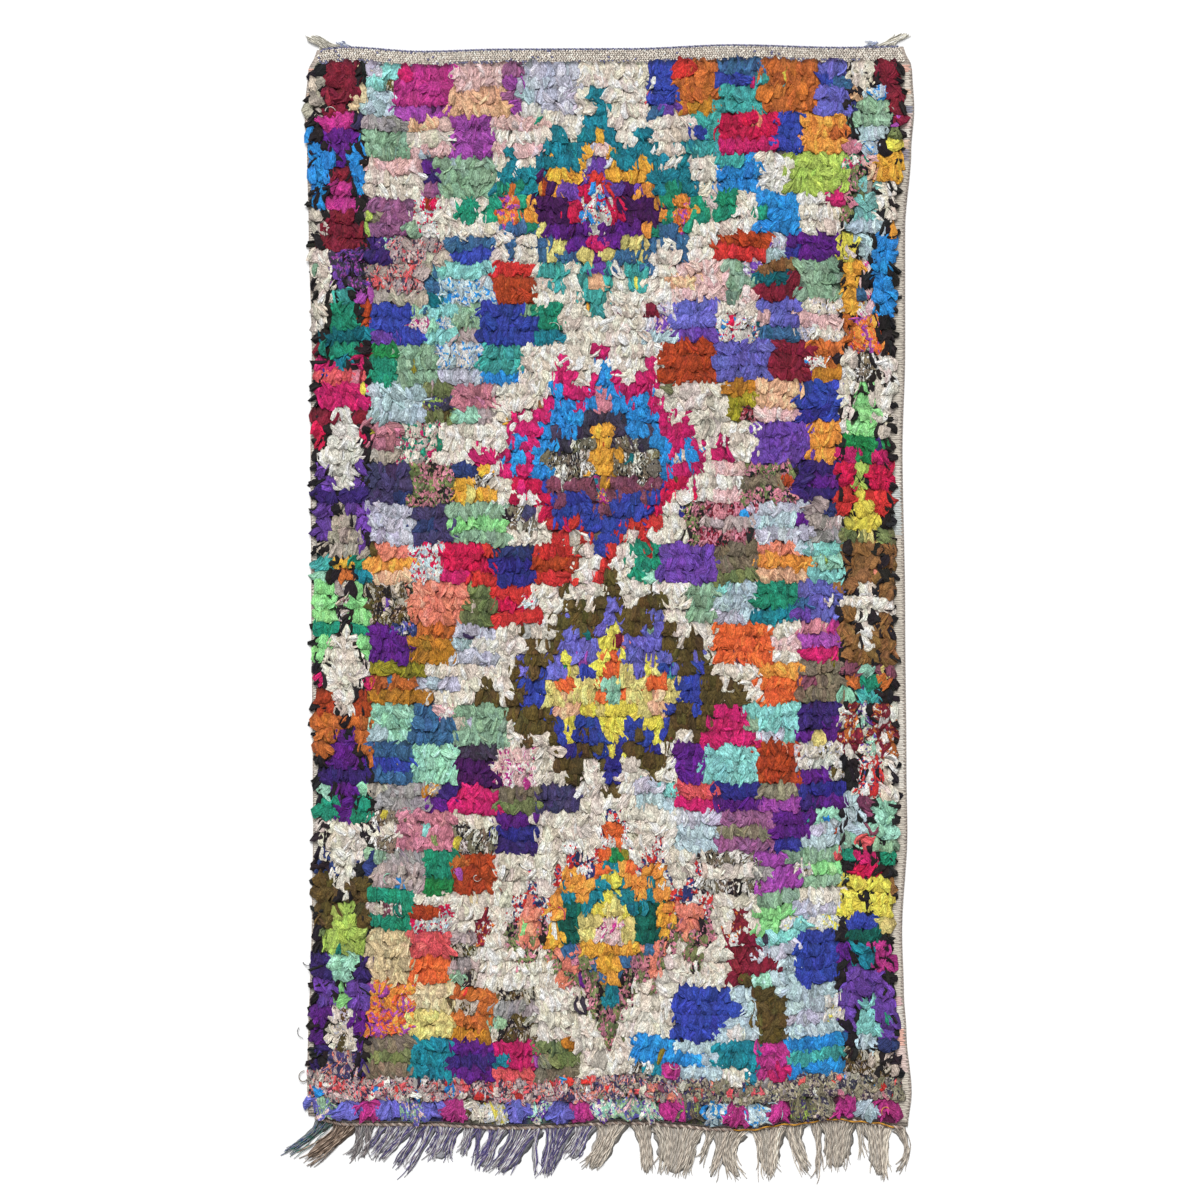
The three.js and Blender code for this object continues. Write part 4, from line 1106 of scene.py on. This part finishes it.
YARN_PILE = (3.4, 2.0)  # how deep the yarns lie on each other, at the roots and at the tips
FELT_LEVEL = 0.75


def past(t, start):
    """From 0 at the start to 1 at the end of what is left of a length."""
    return np.clip((t - start) / (1 - start), 0, 1)


def clump_lines(rows, t):
    """The middle line and the width of each clump along its length: from its roots to its tips with a bow in
    it, drawn together a third of the way along."""
    low, high, tip, spread, drop, bow = (np.array([row[k] for row in rows], float)[:, None] for k in range(6))
    centre = lerp((low + high) / 2, tip, t ** 1.2) + bow * 2.4 * t * (1 - t)
    pinched = lerp(high - low + 2 * ROOT_SPREAD, 0.7 * (high - low) + 5, np.clip(t / PINCH, 0, 1) ** 0.8)
    return centre, lerp(pinched, spread, past(t, PINCH)), drop


def warp_ends(name, clumps, end, outward, root_depth, material):
    """Yarns from the cloth's end: each keeps its share of its clump's width along the clump's middle line,
    crimped by a sine wave of its own, and lies on the floor or on the yarns under it."""
    rows = [row for row in clumps for _ in range(int(np.ceil(row[6] * YARNS_EACH)))]
    one_each = (len(rows), 1)
    t = np.linspace(0, 1, 15)
    centre, width, drop = clump_lines(rows, t)
    share = rng.uniform(-0.5, 0.5, one_each)
    x = centre + share * width
    y = end_edge(end, x[:, :1]) + outward * (root_depth + t * drop * rng.uniform(*YARN_LENGTH, one_each))
    crimp = rng.uniform(*YARN_CRIMP, one_each) * np.clip(4 * t, 0, 1)
    x = x + crimp * np.sin(rng.uniform(*YARN_WAVES, one_each) * t + rng.uniform(0, 6, one_each))
    x = x + rng.normal(0, YARN_DRIFT, one_each) * t + rng.normal(0, YARN_DRIFT, one_each) * past(t, 0.75) ** 2
    radius = rng.uniform(*YARN_RADIUS, one_each) * (1 - 0.5 * past(t, 0.85))
    layer = rng.uniform(0, 1, one_each) * lerp(*YARN_PILE, t) + 0.4 * np.sin(7 * t + 6 * share)
    z = 0.7 + radius + np.clip(layer, 0, None) * (1 - 0.5 * past(t, 0.7))
    kind = rng.integers(0, 2, len(rows))
    plies = np.array([YARNS[row[7]][2 * k:2 * k + 2] for row, k in zip(rows, kind)])
    cloth, ink = np.swapaxes(plies * rng.normal(1, 0.09, one_each)[..., None], 0, 1)
    return tube_piece(name, np.stack([x, y, z], -1), radius, cloth, ink, material, twist=0.3, ring=5)


def felted_fibres(name, clumps, end, outward, root_depth, material):
    """A thin flat web of matted fibre under each clump, a little narrower than its yarns."""
    t = np.linspace(0, 1, 14)
    centre, width, drop = clump_lines(clumps, t)
    half = 0.5 * width * (0.92 + 0.08 * np.sin(23 * t + centre[:, :1])) * (1 - 0.75 * past(t, 0.7))
    x = centre + 1.5 * np.sin(9 * t + centre[:, :1])
    y = end_edge(end, x) + outward * (root_depth + t * drop * 0.92)
    z = np.full(x.shape, FELT_LEVEL)
    cloth = np.array([YARNS[row[7]][4] for row in clumps])
    return tube_piece(name, np.stack([x, y, z], -1), half, cloth, cloth * 0.9, material, squash=0.02, ring=8)


def end_cord(material):
    """Two strands that wind round each other along the bottom edge, and a yellow thread over the right
    half."""
    x = np.linspace(-672, 678, 900)
    y = end_edge("bottom", x) - 4.6 + 0.7 * np.sin(x / 13)
    strands = wound(x, y, 0.36 * x + 1.3 * np.sin(x / 37), 1.9, 1.6)
    cloth = np.array([(0.62, 0.53, 0.48), (0.80, 0.73, 0.68)])
    cord = tube_piece("end_cord", strands, 2.4, cloth, cloth * 0.74, material)
    x = np.linspace(289, 659, 200)
    y = end_edge("bottom", x) - 3.5 + 2.2 * np.sin(x / 19) + 1.2 * np.sin(x / 7)
    cloth, ink = np.array([[(0.84, 0.62, 0.22)], [(0.66, 0.44, 0.12)]])
    thread = tube_piece("end_cord_yellow_thread", np.stack([x, y, 8.2 + 0.8 * np.sin(x / 11)], -1)[None], 1.9,
                        cloth, ink, material, twist=0.5, ring=5)
    return cord, thread


# Loose threads and curls: the middle of each one's arc, the arc's size, start and sweep, thickness, and rag.
LOOSE_THREADS = (
    (-640, -150, 13, 160, -150, 1.3, "ivory"), (650, -150, 13, 20, 150, 1.3, "ivory"),
    (-697, -2366, 12, -40, -230, 1.3, "taupe"), (-300, -1905, 8, 90, 260, 0.9, "ivory"),
    (-120, -1985, 22, 60, -120, 1.6, "hot_pink"), (-120, -650, 16, 10, 120, 1.0, "ivory"),
    (-500, -1905, 13, 80, 170, 1.6, "mint"), (640, -2440, 10, 30, 200, 1.3, "gold"),
    (-696, -2090, 20, 250, 70, 1.0, "black"), (-700, -2255, 16, 160, 110, 0.9, "black"),
    (372, -2440, 26, 100, -140, 1.6, "ice"), (150, -2330, 14, 200, 120, 1.2, "cream"),
)


def loose_threads(material):
    """Each thread is part of a circle that opens a little, lying over the pile or on the floor beside it."""
    pile_level, floor_level, pile_reach = 17.0, 3.0, 660
    rows = np.array([row[:6] for row in LOOSE_THREADS], float)
    t = np.linspace(0, 1, 22)
    x, y, size, start, sweep, thickness = (rows[:, k, None] for k in range(6))
    turn = np.radians(start + sweep * t)
    grow = size * (0.6 + 0.7 * t)
    level = np.where(np.abs(x) < pile_reach, pile_level, floor_level)
    centre = np.stack([x + grow * np.cos(turn), y + grow * np.sin(turn), level + 2.2 * np.sin(np.pi * t)], -1)
    cloth = RAG_CLOTH[rag_ids(" ".join(row[6] for row in LOOSE_THREADS))]
    return tube_piece("loose_threads", centre, thickness * (1 - 0.4 * t), cloth, cloth * 0.8, material,
                      twist=0.4, ring=5)


# ---- the rug -----------------------------------------------------------------------------------------------

rag_cloth = rag_material(printed_cloth_group(), creased_cloth_group())
ground_weave = ground_material()
wool_yarn = yarn_material("wool yarn", 0.88, 900.0)
cotton_yarn = yarn_material("cotton yarn", 0.8, 1200.0)

tufts = course_tufts(COURSES, field)
on_right = tufts["column"] > COURSES["columns"] / 2
third = (tufts["row"] * 3 / COURSES["rows"]).astype(int)
sections = {"border_left": tufts["part"] == LEFT_BORDER, "border_right": tufts["part"] == RIGHT_BORDER}
for number in range(len(MEDALLIONS)):
    sections[f"medallion_{number + 1}"] = tufts["part"] == number
for side, on_side in (("left", ~on_right), ("right", on_right)):
    for number, stretch in enumerate(("upper", "middle", "lower")):
        sections[f"checks_{side}_{stretch}"] = (tufts["part"] == CHECKS) & on_side & (third == number)

pile = [pile_piece("pile_" + name, {key: value[chosen] for key, value in tufts.items()}, rag_cloth)
        for name, chosen in sections.items()]
pile.append(rag_bed("rag_bed", COURSES, tufts, rag_cloth))
for name, course, charted in (("heather_band", HEATHER, heather_rags), ("chunk_band", CHUNKS, chunk_rags)):
    laid = course_tufts(course, charted)
    pile.append(pile_piece("pile_" + name, laid, rag_cloth))
    pile.append(rag_bed("rag_bed_" + name, course, laid, rag_cloth))

ground = ground_cloth(ground_weave)
band_pieces = [top_band(cotton_yarn), top_cord(cotton_yarn)]
selvedges = [selvedge(side, cotton_yarn) for side in ("left", "right")]
threads = loose_threads(cotton_yarn)
cord_pieces = list(end_cord(wool_yarn))
fringe = warp_ends("fringe_warp_ends", CLUMPS, "bottom", -1, 4.0, wool_yarn)
felt = felted_fibres("fringe_felted_fibres", CLUMPS, "bottom", -1, 5.0, wool_yarn)
mirrored = tuple((-b, -a, -tip, spread, rise, -bow, count, yarn)
                 for a, b, tip, spread, rise, bow, count, yarn in TASSEL_CLUMPS)
tassels = {"left": warp_ends("tassel_left_yarns", TASSEL_CLUMPS, "top", 1, 2.0, wool_yarn),
           "right": warp_ends("tassel_right_yarns", mirrored, "top", 1, 2.0, wool_yarn)}

for piece in [ground, *pile, *band_pieces, *selvedges, threads]:
    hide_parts("rug")
for piece in [fringe, felt, *cord_pieces]:
    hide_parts("fringe")
for side, piece in tassels.items():
    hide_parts("tassel_" + side)
rug_pieces = [*pile, *band_pieces, *selvedges, threads, fringe, felt, *cord_pieces, *tassels.values()]
for piece in [ground, *rug_pieces]:
    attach(piece, "root")

# ---- floor, light and camera -------------------------------------------------------------------------------


def floor():
    """A wide flat sheet just under the rug."""
    half_side, level = 9000.0, -0.2
    low, high = -half_side, half_side
    corners = np.array([(low, low, level), (high, low, level), (high, high, level), (low, high, level)])
    material, _, shader = new_material("pale floor", 0.9)
    shader.inputs["Base Color"].default_value = (0.93, 0.93, 0.93, 1)
    piece = make_mesh("floor", corners, (np.array([[0, 1, 2, 3]]),), material)


def studio():
    """A broad soft light from over the rug's top end, and even light from all round."""
    floor()
    strength, softness, tilt, all_round = 3.5, 0.55, (-0.8, -0.2, 0.0), 0.41
    light = bpy.data.objects.new("soft_key", bpy.data.lights.new("soft_key", "SUN"))
    light.data.energy = strength
    light.data.angle = softness
    light.rotation_euler = tilt
    bpy.context.scene.collection.objects.link(light)
    world = bpy.data.worlds.new("studio")
    world.use_nodes = True
    world.node_tree.nodes["Background"].inputs["Color"].default_value = (1, 1, 1, 1)
    world.node_tree.nodes["Background"].inputs["Strength"].default_value = all_round
    bpy.context.scene.world = world
    bpy.context.scene.view_settings.view_transform = "Standard"


def camera():
    """Straight down over the rug, far enough back that the long lens takes in the whole frame."""
    frame_side, lens, sensor, middle = 2.76, 85.0, 36.0, (0.002, 0.015)
    data = bpy.data.cameras.new("camera")
    data.lens = lens
    data.sensor_width = sensor
    data.clip_end = 60.0
    piece = bpy.data.objects.new("camera", data)
    bpy.context.scene.collection.objects.link(piece)
    piece.location = (*middle, frame_side * lens / sensor)
    bpy.context.scene.camera = piece


studio()
camera()
